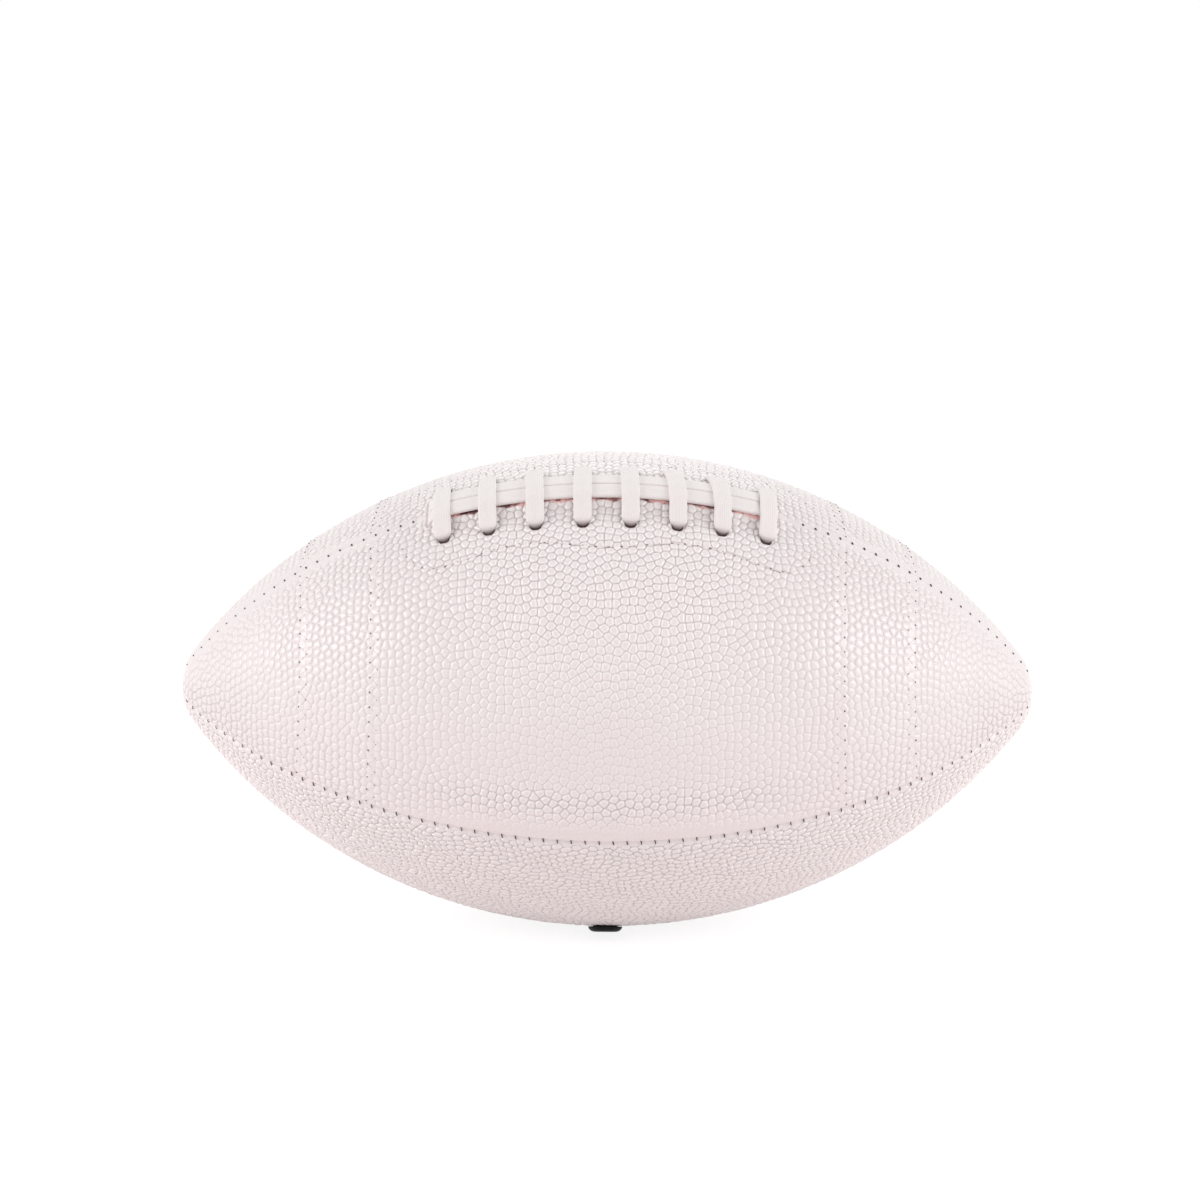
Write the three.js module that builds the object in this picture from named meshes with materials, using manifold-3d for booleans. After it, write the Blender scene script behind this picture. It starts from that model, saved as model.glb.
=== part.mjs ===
// American football: four sewn leather panels over cloth linings, a hollow rubber bladder with its valve,
// sewn stripe bands, and one flat lace through eight pairs of holes. Millimetres.
// The origin is the middle of the ball, +X runs along it, +Z is up, and the lacing leans towards -Y.
import * as THREE from "three";
import { mergeVertices } from "three/addons/utils/BufferGeometryUtils.js";
import Module from "manifold-3d";

const wasm = await Module();
wasm.setup();

// Ball
const BALL_LENGTH = 280;
const BALL_DIAMETER = 156;
const NOSE_RADIUS = 20;
const LACING_ELEVATION = THREE.MathUtils.degToRad(65); // from -Y up to the lacing seam
const UPPER_PANEL_SPAN = THREE.MathUtils.degToRad(91); // around the ball; the bottom panels share the rest

// Cover
const LEATHER = 2;
const LINING = 1.2;
const LAYER_GAP = 0.3;
const SEAM_ROLL_DEPTH = 1.2; // the edge of a panel rolls down this far before its turned-in flange
const SEAM_ROLL_WIDTH = 2.2;
const TIP_HOLE_RADIUS = 1.6; // where the four points of the panels meet

// Stitching
const THREAD = 0.6;
const THREAD_CLEARANCE = 0.3;
const SEAM_THREAD_DEPTH = 2;
const SEAM_THREAD_SHORT = 8; // of the points of the panels, and of the open lacing
const SEAM_THREAD_STEP = 9;
const ZIGZAG_PITCH = 4.6;
const ZIGZAG_WIDTH = 2.7;
const FACING_PITCH = 4;
const FACING_STITCH_INSET = 1.5;

// Stripe bands, measured along the surface
const STRIPE_TO_POINT = 62.1; // from a band's outer edge to the points of the panels
const STRIPE_WIDTH = 26.8;
const STRIPE_BOW = 2.1; // towards the middle of the ball, half way across a panel
const STRIPE_THICKNESS = 0.6;
const STRIPE_WALL = 0.4; // run of the sloping wall of the recess

// Lacing
const LACE_WIDTH = 5.8;
const LACE_THICKNESS = 1.4;
const LACE_FOLD = 2; // middle radius where the lace folds over its flat side
const LACE_TAIL = 14;
const LACE_GAP = 0.6; // between two runs of the lace
const CROSSES = 8;
const CROSS_PITCH = 14.5;
const HOLE_SPREAD = 31; // between the two rows of holes
const HOLE_CLEARANCE = 1.1;
const FACING = 1.2;
const FACING_WIDTH = 24.1;
const FACING_WAVE = 1.6;
const FACING_WAVELENGTH = 54;
const FACING_END_ROUND = 14;
const FACING_OVERHANG = 12; // past the end openings of the lacing
const FACING_END_WIDTH = 5;
const TONGUE = 1.2;
const TONGUE_MARGIN = 3; // past the rows of holes
const TONGUE_OVERHANG = 9;

// Bladder and valve
const BLADDER_WALL = 1;
const VALVE_HEAD_DIAMETER = 11.2;
const VALVE_FACE_DIAMETER = 6.6;
const VALVE_HEAD_HEIGHT = 1.8;
const VALVE_STEM_DIAMETER = 8;
const VALVE_STEM_INSIDE = 9; // below the patch
const VALVE_FLANGE_DIAMETER = 18;
const VALVE_FLANGE = 1.2;
const VALVE_PATCH_DIAMETER = 28;
const VALVE_PATCH = 0.8;
const NEEDLE_BORE = 2;
const VALVE_OFFSET = 3.7; // from the middle of the bottom front panel, away from the lacing
const STEM_CLEARANCE = 0.4;

// Facets
const PANEL_COLUMNS = 8;
const PANEL_ROWS = 14;
const NOSE_ROWS = 2;
const BLADDER_COLUMNS = 20;
const BLADDER_CROWDING = 0.5; // how much closer the bladder's columns stand under the lacing
const BLADDER_ROWS = 14;
const ROUND_SIDES = 20;

// The outline of the ball: an arc along each side, and a smaller arc round each nose
const RADIUS = BALL_DIAMETER / 2;
const NOSE_CENTRE = BALL_LENGTH / 2 - NOSE_RADIUS;
const ARC_RADIUS = (NOSE_CENTRE ** 2 + RADIUS ** 2 - NOSE_RADIUS ** 2) / (2 * (RADIUS - NOSE_RADIUS));
const NOSE_LEAN = Math.asin(NOSE_CENTRE / (ARC_RADIUS - NOSE_RADIUS));
const ARC_REACH = ARC_RADIUS * NOSE_LEAN;
const PANEL_REACH = ARC_REACH + NOSE_RADIUS * (Math.acos(TIP_HOLE_RADIUS / NOSE_RADIUS) - NOSE_LEAN);

// The outline at a distance s along the surface from the middle: x, radius, and the lean of its normal
function outline(s) {
  const reach = Math.abs(s);
  const side = s < 0 ? -1 : 1;
  const onArc = reach < ARC_REACH;
  const lean = onArc ? reach / ARC_RADIUS : NOSE_LEAN + (reach - ARC_REACH) / NOSE_RADIUS;
  const x = onArc ? ARC_RADIUS * Math.sin(lean) : NOSE_CENTRE + NOSE_RADIUS * Math.sin(lean);
  const radius = onArc ? RADIUS - ARC_RADIUS * (1 - Math.cos(lean)) : NOSE_RADIUS * Math.cos(lean);
  return { x: side * x, radius, lean: side * lean };
}

// The directions at a place on the ball: along the outline, around the ball, and straight out of it
function directions(s, turn) {
  const { lean } = outline(s);
  const spoke = new THREE.Vector3(0, -Math.cos(turn), Math.sin(turn));
  const axis = new THREE.Vector3(1, 0, 0);
  const out = spoke.clone().multiplyScalar(Math.cos(lean)).addScaledVector(axis, Math.sin(lean));
  const along = axis.clone().multiplyScalar(Math.cos(lean)).addScaledVector(spoke, -Math.sin(lean));
  const around = new THREE.Vector3(0, Math.sin(turn), Math.cos(turn));
  return { along, around, out };
}

// A point at a height above the outer surface
function place(s, turn, height) {
  const { x, radius } = outline(s);
  const onSurface = new THREE.Vector3(x, -radius * Math.cos(turn), radius * Math.sin(turn));
  return onSurface.addScaledVector(directions(s, turn).out, height);
}

// Straight out of the ball at a point on or near one of its sides
function outward(point) {
  const lean = Math.asin(point.x / ARC_RADIUS);
  const spoke = new THREE.Vector3(0, point.y, point.z).normalize();
  return spoke.multiplyScalar(Math.cos(lean)).addScaledVector(new THREE.Vector3(1, 0, 0), Math.sin(lean));
}

// Closed bodies from points
function body(points, triangles) {
  const geometry = new THREE.BufferGeometry();
  geometry.setAttribute("position", new THREE.Float32BufferAttribute(points.flatMap((p) => [p.x, p.y, p.z]), 3));
  geometry.setIndex(triangles);
  return geometry;
}

function quad(triangles, a, b, c, d) {
  triangles.push(a, b, c, a, c, d);
}

// A curved plate from two grids of points, indexed by row along the ball and column around it
function plate(outer, inner) {
  const rows = outer.length;
  const columns = outer[0].length;
  const under = rows * columns;
  const index = (row, column) => row * columns + column;
  const triangles = [];
  for (let i = 0; i + 1 < rows; i++) {
    for (let j = 0; j + 1 < columns; j++) {
      const [a, b, c, d] = [index(i, j), index(i + 1, j), index(i + 1, j + 1), index(i, j + 1)];
      quad(triangles, a, b, c, d);
      quad(triangles, under + a, under + d, under + c, under + b);
    }
    const [first, next] = [index(i, 0), index(i + 1, 0)];
    quad(triangles, first, under + first, under + next, next);
    const [last, after] = [index(i, columns - 1), index(i + 1, columns - 1)];
    quad(triangles, last, after, under + after, under + last);
  }
  for (let j = 0; j + 1 < columns; j++) {
    const [a, b] = [index(0, j), index(0, j + 1)];
    quad(triangles, a, b, under + b, under + a);
    const [c, d] = [index(rows - 1, j), index(rows - 1, j + 1)];
    quad(triangles, c, under + c, under + d, d);
  }
  return body([...outer.flat(), ...inner.flat()], triangles);
}

// A body through rings of points that turn anticlockwise about the way they advance
function loft(rings) {
  const sides = rings[0].length;
  const triangles = [];
  for (let i = 0; i + 1 < rings.length; i++) {
    for (let k = 0; k < sides; k++) {
      const next = (k + 1) % sides;
      quad(triangles, i * sides + k, i * sides + next, (i + 1) * sides + next, (i + 1) * sides + k);
    }
  }
  const last = (rings.length - 1) * sides;
  for (let k = 1; k + 1 < sides; k++) {
    triangles.push(0, k + 1, k, last, last + k, last + k + 1);
  }
  return body(rings.flat(), triangles);
}

// A thin thread of three sides along points, kept upright by the ball's own outward direction
function thread(points) {
  const rings = points.map((point, i) => {
    const ahead = points[Math.min(i + 1, points.length - 1)].clone();
    const forward = ahead.sub(points[Math.max(i - 1, 0)]).normalize();
    const side = new THREE.Vector3().crossVectors(outward(point), forward).normalize();
    const up = new THREE.Vector3().crossVectors(forward, side);
    return [0, 1, 2].map((corner) => {
      const angle = Math.PI / 2 + (corner * 2 * Math.PI) / 3;
      const offset = side.clone().multiplyScalar(Math.cos(angle)).addScaledVector(up, Math.sin(angle));
      return point.clone().addScaledVector(offset, THREAD / 2);
    });
  });
  return loft(rings);
}

// Booleans
function solid(geometry) {
  const bare = geometry.clone();
  bare.deleteAttribute("normal");
  bare.deleteAttribute("uv");
  const merged = mergeVertices(bare, 1e-4);
  return new wasm.Manifold(
    new wasm.Mesh({
      numProp: 3,
      vertProperties: new Float32Array(merged.attributes.position.array),
      triVerts: new Uint32Array(merged.index.array),
    }),
  );
}

function cut(geometry, tools) {
  const left = tools.reduce((rest, tool) => rest.subtract(solid(tool)), solid(geometry));
  const { vertProperties, triVerts } = left.getMesh();
  const result = new THREE.BufferGeometry();
  result.setAttribute("position", new THREE.BufferAttribute(vertProperties, 3));
  result.setIndex(new THREE.BufferAttribute(triVerts, 1));
  return result;
}

// A tool or piece drawn with x along the outline, y around the ball and z outwards, set at a place
function setAt(geometry, s, turn, height) {
  const { along, around, out } = directions(s, turn);
  const matrix = new THREE.Matrix4().makeBasis(along, around, out);
  return geometry.clone().applyMatrix4(matrix.setPosition(place(s, turn, height)));
}

// Colours and finishes
const whiteLeather = new THREE.MeshStandardMaterial({ color: 0xefe6e5, roughness: 0.5 });
const stripeLeather = new THREE.MeshStandardMaterial({ color: 0xf1e8e7, roughness: 0.5 });
const liningCloth = new THREE.MeshStandardMaterial({ color: 0xd8d0c4, roughness: 0.95 });
const laceWeave = new THREE.MeshStandardMaterial({ color: 0xf4efec, roughness: 0.8 });
const paleThread = new THREE.MeshStandardMaterial({ color: 0xe8dcdc, roughness: 0.8 });
const seamThread = new THREE.MeshStandardMaterial({ color: 0x5a4a50, roughness: 0.8 });
const bladderRubber = new THREE.MeshStandardMaterial({ color: 0x2b2b2d, roughness: 0.7 });
const valveRubber = new THREE.MeshStandardMaterial({ color: 0x141416, roughness: 0.55 });

const football = new THREE.Group();
football.name = "american_football";

function add(name, geometry, material) {
  const mesh = new THREE.Mesh(geometry, material);
  mesh.name = name;
  football.add(mesh);
}

// The four seams and the panels between them, by their turn around the ball
const LACING = LACING_ELEVATION;
const FRONT_SEAM = LACING - UPPER_PANEL_SPAN;
const BACK_SEAM = LACING + UPPER_PANEL_SPAN;
const BOTTOM_SEAM = LACING + Math.PI;
const PANELS = [
  { name: "front", from: FRONT_SEAM, to: LACING, striped: true },
  { name: "back", from: LACING, to: BACK_SEAM, striped: true },
  { name: "bottom_back", from: BACK_SEAM, to: BOTTOM_SEAM, striped: false },
  { name: "bottom_front", from: BOTTOM_SEAM - 2 * Math.PI, to: FRONT_SEAM, striped: false },
];

// Depths of the layers under the outer surface
const SEAM_GAP = THREAD + 2 * THREAD_CLEARANCE;
const LINING_TOP = LEATHER + LAYER_GAP;
const COVER_DEPTH = LINING_TOP + LINING;
const ROW_STEP = (2 * ARC_REACH) / PANEL_ROWS;
const COLUMN_STEP = UPPER_PANEL_SPAN / PANEL_COLUMNS;
const FACET_SAG = RADIUS * (1 - Math.cos(COLUMN_STEP / 2)) + ROW_STEP ** 2 / (8 * ARC_RADIUS);
const FACING_TOP = COVER_DEPTH + LAYER_GAP + FACET_SAG;
const LACE_INSIDE = FACING_TOP + FACING + LACE_GAP + LACE_THICKNESS / 2;
const TONGUE_TOP = LACE_INSIDE + LACE_THICKNESS / 2 + LAYER_GAP;
const BLADDER_TOP = COVER_DEPTH + LAYER_GAP + FACET_SAG;
const BLADDER_UNDER_LACING = TONGUE_TOP + TONGUE + LAYER_GAP;

// Rows of a panel: even steps along the sides, closer ones round the noses, and the walls of the recesses
const STRIPE_END = PANEL_REACH - STRIPE_TO_POINT;
const STRIPE_START = STRIPE_END - STRIPE_WIDTH;
const STRIPE_RECESS = STRIPE_THICKNESS + LAYER_GAP;

function bodyRows() {
  return Array.from({ length: PANEL_ROWS + 1 }, (_, i) => -ARC_REACH + i * ROW_STEP);
}

function panelRows(striped) {
  const noseStep = (PANEL_REACH - ARC_REACH) / NOSE_ROWS;
  const nose = Array.from({ length: NOSE_ROWS }, (_, i) => ARC_REACH + (i + 1) * noseStep);
  let rows = [...nose.map((s) => -s), ...bodyRows(), ...nose];
  if (striped) {
    const edges = [STRIPE_START, STRIPE_END].flatMap((s) => [s, -s]);
    rows = rows.filter((s) => edges.every((edge) => Math.abs(s - edge) > ROW_STEP / 4));
    rows.push(...edges.flatMap((edge) => [edge - STRIPE_WALL / 2, edge + STRIPE_WALL / 2]));
  }
  return rows.sort((a, b) => a - b);
}

function inRecess(s, striped) {
  const reach = Math.abs(s);
  return striped && reach > STRIPE_START && reach < STRIPE_END;
}

// Rows bow towards the middle of the ball half way across a striped panel, most at the stripes
function bowed(s, share, striped) {
  const reach = Math.abs(s);
  const rise = Math.min(1, reach / STRIPE_START, (PANEL_REACH - reach) / (PANEL_REACH - STRIPE_END));
  const crown = 1 - (2 * share - 1) ** 2;
  return striped ? s - Math.sign(s) * STRIPE_BOW * rise * crown : s;
}

// A point of a panel's layer, by row, by share of the width between its seam gaps, or by inset from one edge
function onPanel(panel, s, share, height) {
  const row = bowed(s, share, panel.striped);
  const gap = SEAM_GAP / 2 / outline(s).radius;
  const turn = THREE.MathUtils.lerp(panel.from + gap, panel.to - gap, share);
  return place(row, turn, height);
}

function widthAt(panel, s) {
  return (panel.to - panel.from) * outline(s).radius - SEAM_GAP;
}

// An inset in millimetres as a share of the panel's width, kept short of the first inner column at the tips
function insetShare(panel, s, inset, most) {
  return Math.min(inset / widthAt(panel, s), most / PANEL_COLUMNS);
}

const INNER_SHARES = Array.from({ length: PANEL_COLUMNS - 1 }, (_, k) => (k + 1) / PANEL_COLUMNS);
const MOST_ROLL = 0.5;
const MOST_FLANGE = 0.6;
const MOST_CORNER = 0.8;

// One row of points across a panel, from both edges' points [share, height] and the height between them
function across(panel, s, edge, height) {
  const near = edge.map(([share, h]) => onPanel(panel, s, share, h));
  const middle = INNER_SHARES.map((share) => onPanel(panel, s, share, height));
  const far = edge.map(([share, h]) => onPanel(panel, s, 1 - share, h));
  return [...near, ...middle, ...far.reverse()];
}

function panelGeometry(panel) {
  const rows = panelRows(panel.striped);
  const outer = rows.map((s) => {
    const drop = inRecess(s, panel.striped) ? STRIPE_RECESS : 0;
    const roll = insetShare(panel, s, SEAM_ROLL_WIDTH, MOST_ROLL);
    return across(panel, s, [[0, -COVER_DEPTH], [0, -SEAM_ROLL_DEPTH - drop], [roll, -drop]], -drop);
  });
  const inner = rows.map((s) => {
    const flange = insetShare(panel, s, LEATHER, MOST_FLANGE);
    const corner = insetShare(panel, s, LEATHER + SEAM_ROLL_WIDTH, MOST_CORNER);
    return across(panel, s, [[flange, -COVER_DEPTH], [flange, -LEATHER], [corner, -LEATHER]], -LEATHER);
  });
  return plate(outer, inner);
}

function liningGeometry(panel) {
  const layer = (depth) =>
    bodyRows().map((s) => {
      const edge = insetShare(panel, s, LEATHER + LAYER_GAP, MOST_CORNER);
      return across(panel, s, [[edge, -depth]], -depth);
    });
  return plate(layer(LINING_TOP), layer(COVER_DEPTH));
}

// Stripe bands lie in the recesses, flush with the leather
const STRIPE_CLEARANCE = STRIPE_WALL / 2 + LAYER_GAP;

function stripeGeometry(panel, side) {
  const [near, far] = [STRIPE_START + STRIPE_CLEARANCE, STRIPE_END - STRIPE_CLEARANCE];
  const rows = [near, (near + far) / 2, far].map((s) => side * s).sort((a, b) => a - b);
  const layer = (depth) =>
    rows.map((s) => across(panel, s, [[insetShare(panel, s, SEAM_ROLL_WIDTH, MOST_ROLL), -depth]], -depth));
  return plate(layer(0), layer(STRIPE_THICKNESS));
}

// A zigzag thread along one edge of a stripe band, reaching towards the middle of the ball
function zigzagGeometry(panel, side, edge) {
  const steps = Math.floor((2 * (widthAt(panel, edge) - 2 * SEAM_ROLL_WIDTH)) / ZIGZAG_PITCH);
  const margin = SEAM_ROLL_WIDTH / widthAt(panel, edge);
  const points = Array.from({ length: steps + 1 }, (_, k) => {
    const share = THREE.MathUtils.lerp(margin, 1 - margin, k / steps);
    const s = side * (edge - (k % 2) * ZIGZAG_WIDTH);
    return onPanel(panel, s, share, THREAD_CLEARANCE + THREAD / 2);
  });
  return thread(points);
}

// The lacing: where its crosses, holes, strands and end openings lie
const LACE_LANE = (LACE_WIDTH + LACE_GAP) / 2; // of each lengthwise strand, from the seam
const LACE_TURN = LACE_WIDTH / 2 + LACE_GAP; // middle radius where the lace turns on its flat
const LAST_CROSS = ((CROSSES - 1) / 2) * CROSS_PITCH;
const LACE_END = LAST_CROSS + LACE_TURN + LACE_FOLD;
const STRAND_HEIGHT = LAYER_GAP + LACE_THICKNESS / 2;
const CROSS_HEIGHT = STRAND_HEIGHT + LACE_THICKNESS + LACE_GAP;
const CROSS_SHOULDER = LACE_LANE + LACE_WIDTH / 2 + LACE_GAP;
const HOLE_HEIGHT = STRAND_HEIGHT + LAYER_GAP;
const HOLE_HALF_WIDTH = LACE_THICKNESS / 2 + HOLE_CLEARANCE;
const LACING_STACK = LACE_INSIDE + LACE_THICKNESS;

function crossAt(k) {
  return k * CROSS_PITCH - LAST_CROSS;
}

// The rows of holes keep a steady angle to the seam, so they draw in with the ball
const HOLE_TURN = HOLE_SPREAD / 2 / RADIUS;

// The turn from the lacing seam that lies a distance sideways of it at a height
function turnAside(s, sideways, height) {
  const { radius, lean } = outline(s);
  return sideways / (radius + height * Math.cos(lean));
}

function nearLacing(s, sideways, height) {
  return place(s, LACING + turnAside(s, sideways, height), height);
}

// Tools that cut the lace holes and the two end openings through the cover and the facings
function slot(halfLength, halfWidth) {
  const shape = new THREE.Shape();
  shape.absarc(halfLength, 0, halfWidth, -Math.PI / 2, Math.PI / 2);
  shape.absarc(-halfLength, 0, halfWidth, Math.PI / 2, (3 * Math.PI) / 2);
  return new THREE.ExtrudeGeometry(shape, { depth: 2 * LACING_STACK, bevelEnabled: false, curveSegments: 1 });
}

function laceHoles(side) {
  const hole = slot(LACE_WIDTH / 2, HOLE_HALF_WIDTH);
  return Array.from({ length: CROSSES }, (_, k) =>
    setAt(hole, crossAt(k), LACING + side * HOLE_TURN, -LACING_STACK),
  );
}

function endOpenings() {
  const across = slot(LACE_LANE + LACE_WIDTH / 2, HOLE_HALF_WIDTH).rotateZ(Math.PI / 2);
  return [-LACE_END, LACE_END].map((s) => setAt(across, s, LACING, -LACING_STACK));
}

// The lace's route: corners as { point, bend, wide }, the radius at which it bends and the way its width
// lies where it passes through the cover
function laceRoute() {
  const route = [];
  const go = (s, sideways, height, bend = 0) => {
    const wide = directions(s, LACING).around;
    route.push({ point: nearLacing(s, sideways, height), bend, wide });
  };
  const goHole = (s, side, height, bend = 0) => {
    const wide = directions(s, LACING).along;
    route.push({ point: place(s, LACING + side * HOLE_TURN, height), bend, wide });
  };
  const strand = (sideways) => {
    const steps = CROSSES;
    go(LACE_END, sideways, -LACE_INSIDE, LACE_FOLD);
    go(LACE_END, sideways, STRAND_HEIGHT, LACE_FOLD);
    for (let k = 1; k < steps; k++) {
      go(LACE_END * (1 - (2 * k) / steps), sideways, STRAND_HEIGHT);
    }
    go(-LACE_END, sideways, STRAND_HEIGHT, LACE_FOLD);
    go(-LACE_END, sideways, -LACE_INSIDE, LACE_FOLD);
  };
  const cross = (s) => {
    goHole(s, 1, -LACE_INSIDE, LACE_FOLD);
    goHole(s, 1, HOLE_HEIGHT, LACE_FOLD);
    go(s, CROSS_SHOULDER, CROSS_HEIGHT);
    go(s, 0, CROSS_HEIGHT);
    go(s, -CROSS_SHOULDER, CROSS_HEIGHT);
    goHole(s, -1, HOLE_HEIGHT, LACE_FOLD);
    goHole(s, -1, -LACE_INSIDE, LACE_FOLD);
  };
  go(LACE_END + LACE_TAIL, LACE_LANE, -LACE_INSIDE);
  strand(LACE_LANE);
  go(-LAST_CROSS, LACE_LANE, -LACE_INSIDE, LACE_TURN);
  for (let k = 0; k < CROSSES; k++) {
    cross(crossAt(k));
    for (const share of k + 1 < CROSSES ? [0.25, 0.5, 0.75] : []) {
      goHole(crossAt(k + share), 2 * share - 1, -LACE_INSIDE);
    }
  }
  go(LAST_CROSS, -LACE_LANE, -LACE_INSIDE, LACE_TURN);
  strand(-LACE_LANE);
  go(-LACE_END - LACE_TAIL, -LACE_LANE, -LACE_INSIDE);
  return route;
}

// The route with its corners rounded
const BEND_STEP = Math.PI / 6;

function rounded(route) {
  return route.flatMap(({ point, bend, wide }, i) => {
    if (!bend) {
      return [{ point, wide }];
    }
    const into = point.clone().sub(route[i - 1].point).normalize();
    const away = route[i + 1].point.clone().sub(point).normalize();
    const angle = into.angleTo(away);
    const reach = bend * Math.tan(angle / 2);
    const centreWay = away.clone().sub(into).normalize();
    const centre = point.clone().addScaledVector(centreWay, bend / Math.cos(angle / 2));
    const spoke = point.clone().addScaledVector(into, -reach).sub(centre);
    const axis = new THREE.Vector3().crossVectors(into, away).normalize();
    const steps = Math.ceil(angle / BEND_STEP);
    return Array.from({ length: steps + 1 }, (_, k) => {
      const turned = spoke.clone().applyAxisAngle(axis, (angle * k) / steps);
      return { point: turned.add(centre), wide };
    });
  });
}

// The flat lace's rings: its width lies flat on the ball where the run does, and along the hole in a hole
function laceRings(stations) {
  const side = new THREE.Vector3();
  return stations.map(({ point, wide }, i) => {
    const ahead = stations[Math.min(i + 1, stations.length - 1)].point.clone();
    const forward = ahead.sub(stations[Math.max(i - 1, 0)].point).normalize();
    const out = outward(point);
    const flat = new THREE.Vector3().crossVectors(out, forward);
    if (i === 0) {
      side.copy(flat);
    }
    const steep = 2 * Math.abs(out.dot(forward)) * Math.sign(wide.dot(side));
    side.copy(flat.multiplyScalar(Math.sign(flat.dot(side)))).addScaledVector(wide, steep);
    side.addScaledVector(forward, -side.dot(forward)).normalize();
    const up = new THREE.Vector3().crossVectors(forward, side);
    const corner = (across, above) =>
      point
        .clone()
        .addScaledVector(side, (across * LACE_WIDTH) / 2)
        .addScaledVector(up, (above * LACE_THICKNESS) / 2);
    return [corner(1, 1), corner(-1, 1), corner(-1, -1), corner(1, -1)];
  });
}

// The least distance between two runs of the lace that are well apart along it
function leastGap(rings) {
  const shares = Array.from({ length: 9 }, (_, k) => k / 8);
  const samples = [];
  let run = 0;
  for (let i = 0; i + 1 < rings.length; i++) {
    const [middle, next] = [rings[i], rings[i + 1]].map((ring) => ring[0].clone().lerp(ring[2], 0.5));
    const step = middle.distanceTo(next);
    for (const ahead of [0, 0.5]) {
      const ring = rings[i].map((p, k) => p.clone().lerp(rings[i + 1][k], ahead));
      for (const share of shares) {
        samples.push({ run: run + ahead * step, point: ring[0].clone().lerp(ring[1], share) });
        samples.push({ run: run + ahead * step, point: ring[3].clone().lerp(ring[2], share) });
      }
    }
    run += step;
  }
  let least = Infinity;
  for (let i = 0; i < samples.length; i++) {
    for (let j = i + 1; j < samples.length; j++) {
      if (samples[j].run - samples[i].run > 3 * LACE_WIDTH) {
        least = Math.min(least, samples[i].point.distanceTo(samples[j].point));
      }
    }
  }
  return { least, run };
}

// Lace facings: strips behind the holes, with a wavy outer edge drawn in at the ends
const FACING_REACH = LACE_END + FACING_OVERHANG;
const FACING_ROWS = 14;
const FACING_SHARES = [0, 0.5, 1];

function facingWidth(s) {
  const wave = FACING_WIDTH + FACING_WAVE * Math.cos((2 * Math.PI * s) / FACING_WAVELENGTH);
  const past = Math.max(0, Math.abs(s) - FACING_REACH + FACING_END_ROUND) / FACING_END_ROUND;
  return THREE.MathUtils.lerp(FACING_END_WIDTH, wave, Math.sqrt(1 - Math.min(past, 1) ** 2));
}

function facingGeometry(side) {
  const shares = side > 0 ? FACING_SHARES : [...FACING_SHARES].reverse();
  const layer = (depth) =>
    Array.from({ length: FACING_ROWS + 1 }, (_, i) => {
      const s = FACING_REACH * ((2 * i) / FACING_ROWS - 1);
      return shares.map((share) => {
        const sideways = THREE.MathUtils.lerp(SEAM_GAP / 2, facingWidth(s), share);
        return nearLacing(s, side * sideways, -depth);
      });
    });
  return cut(plate(layer(FACING_TOP), layer(FACING_TOP + FACING)), [...laceHoles(side), ...endOpenings()]);
}

function facingThreadGeometry(side) {
  const reach = FACING_REACH - FACING_STITCH_INSET;
  const steps = Math.round((2 * reach) / FACING_PITCH);
  const points = Array.from({ length: steps + 1 }, (_, k) => {
    const s = reach * ((2 * k) / steps - 1);
    const sideways = facingWidth(s) - FACING_STITCH_INSET;
    return nearLacing(s, side * sideways, THREAD_CLEARANCE + THREAD / 2);
  });
  return thread(points);
}

// The tongue between the inside runs of the lace and the bladder
const TONGUE_ROWS = 8;
const TONGUE_COLUMNS = 4;

function tongueGeometry() {
  const reach = LACE_END + TONGUE_OVERHANG;
  const halfWidth = HOLE_SPREAD / 2 + TONGUE_MARGIN;
  const layer = (depth) =>
    Array.from({ length: TONGUE_ROWS + 1 }, (_, i) => {
      const s = reach * ((2 * i) / TONGUE_ROWS - 1);
      return Array.from({ length: TONGUE_COLUMNS + 1 }, (_, j) => {
        return nearLacing(s, halfWidth * ((2 * j) / TONGUE_COLUMNS - 1), -depth);
      });
    });
  return plate(layer(TONGUE_TOP), layer(TONGUE_TOP + TONGUE));
}

// The valve, by height above the outer surface: head outside, flange and patch inside the cover
const VALVE_TURN = (PANELS[3].from + PANELS[3].to) / 2 - VALVE_OFFSET / RADIUS;
const HEAD_BASE = LAYER_GAP;
const HEAD_TOP = HEAD_BASE + VALVE_HEAD_HEIGHT;
const FLANGE_DROP = (VALVE_FLANGE_DIAMETER / 2) ** 2 / (2 * (RADIUS - COVER_DEPTH));
const FLANGE_TOP = -(COVER_DEPTH + LAYER_GAP + FACET_SAG + FLANGE_DROP);
const FLANGE_BASE = FLANGE_TOP - VALVE_FLANGE;
const PATCH_TOP = FLANGE_BASE - LAYER_GAP;
const PATCH_BASE = PATCH_TOP - VALVE_PATCH;
const STEM_END = PATCH_BASE - VALVE_STEM_INSIDE;
const STEM_HOLE = VALVE_STEM_DIAMETER / 2 + STEM_CLEARANCE;
const HEAD_STEPS = 4;

function lathe(profile) {
  const points = profile.map(([radius, height]) => new THREE.Vector2(radius, height));
  points.push(points[0].clone());
  return new THREE.LatheGeometry(points, ROUND_SIDES).rotateX(Math.PI / 2);
}

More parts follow.
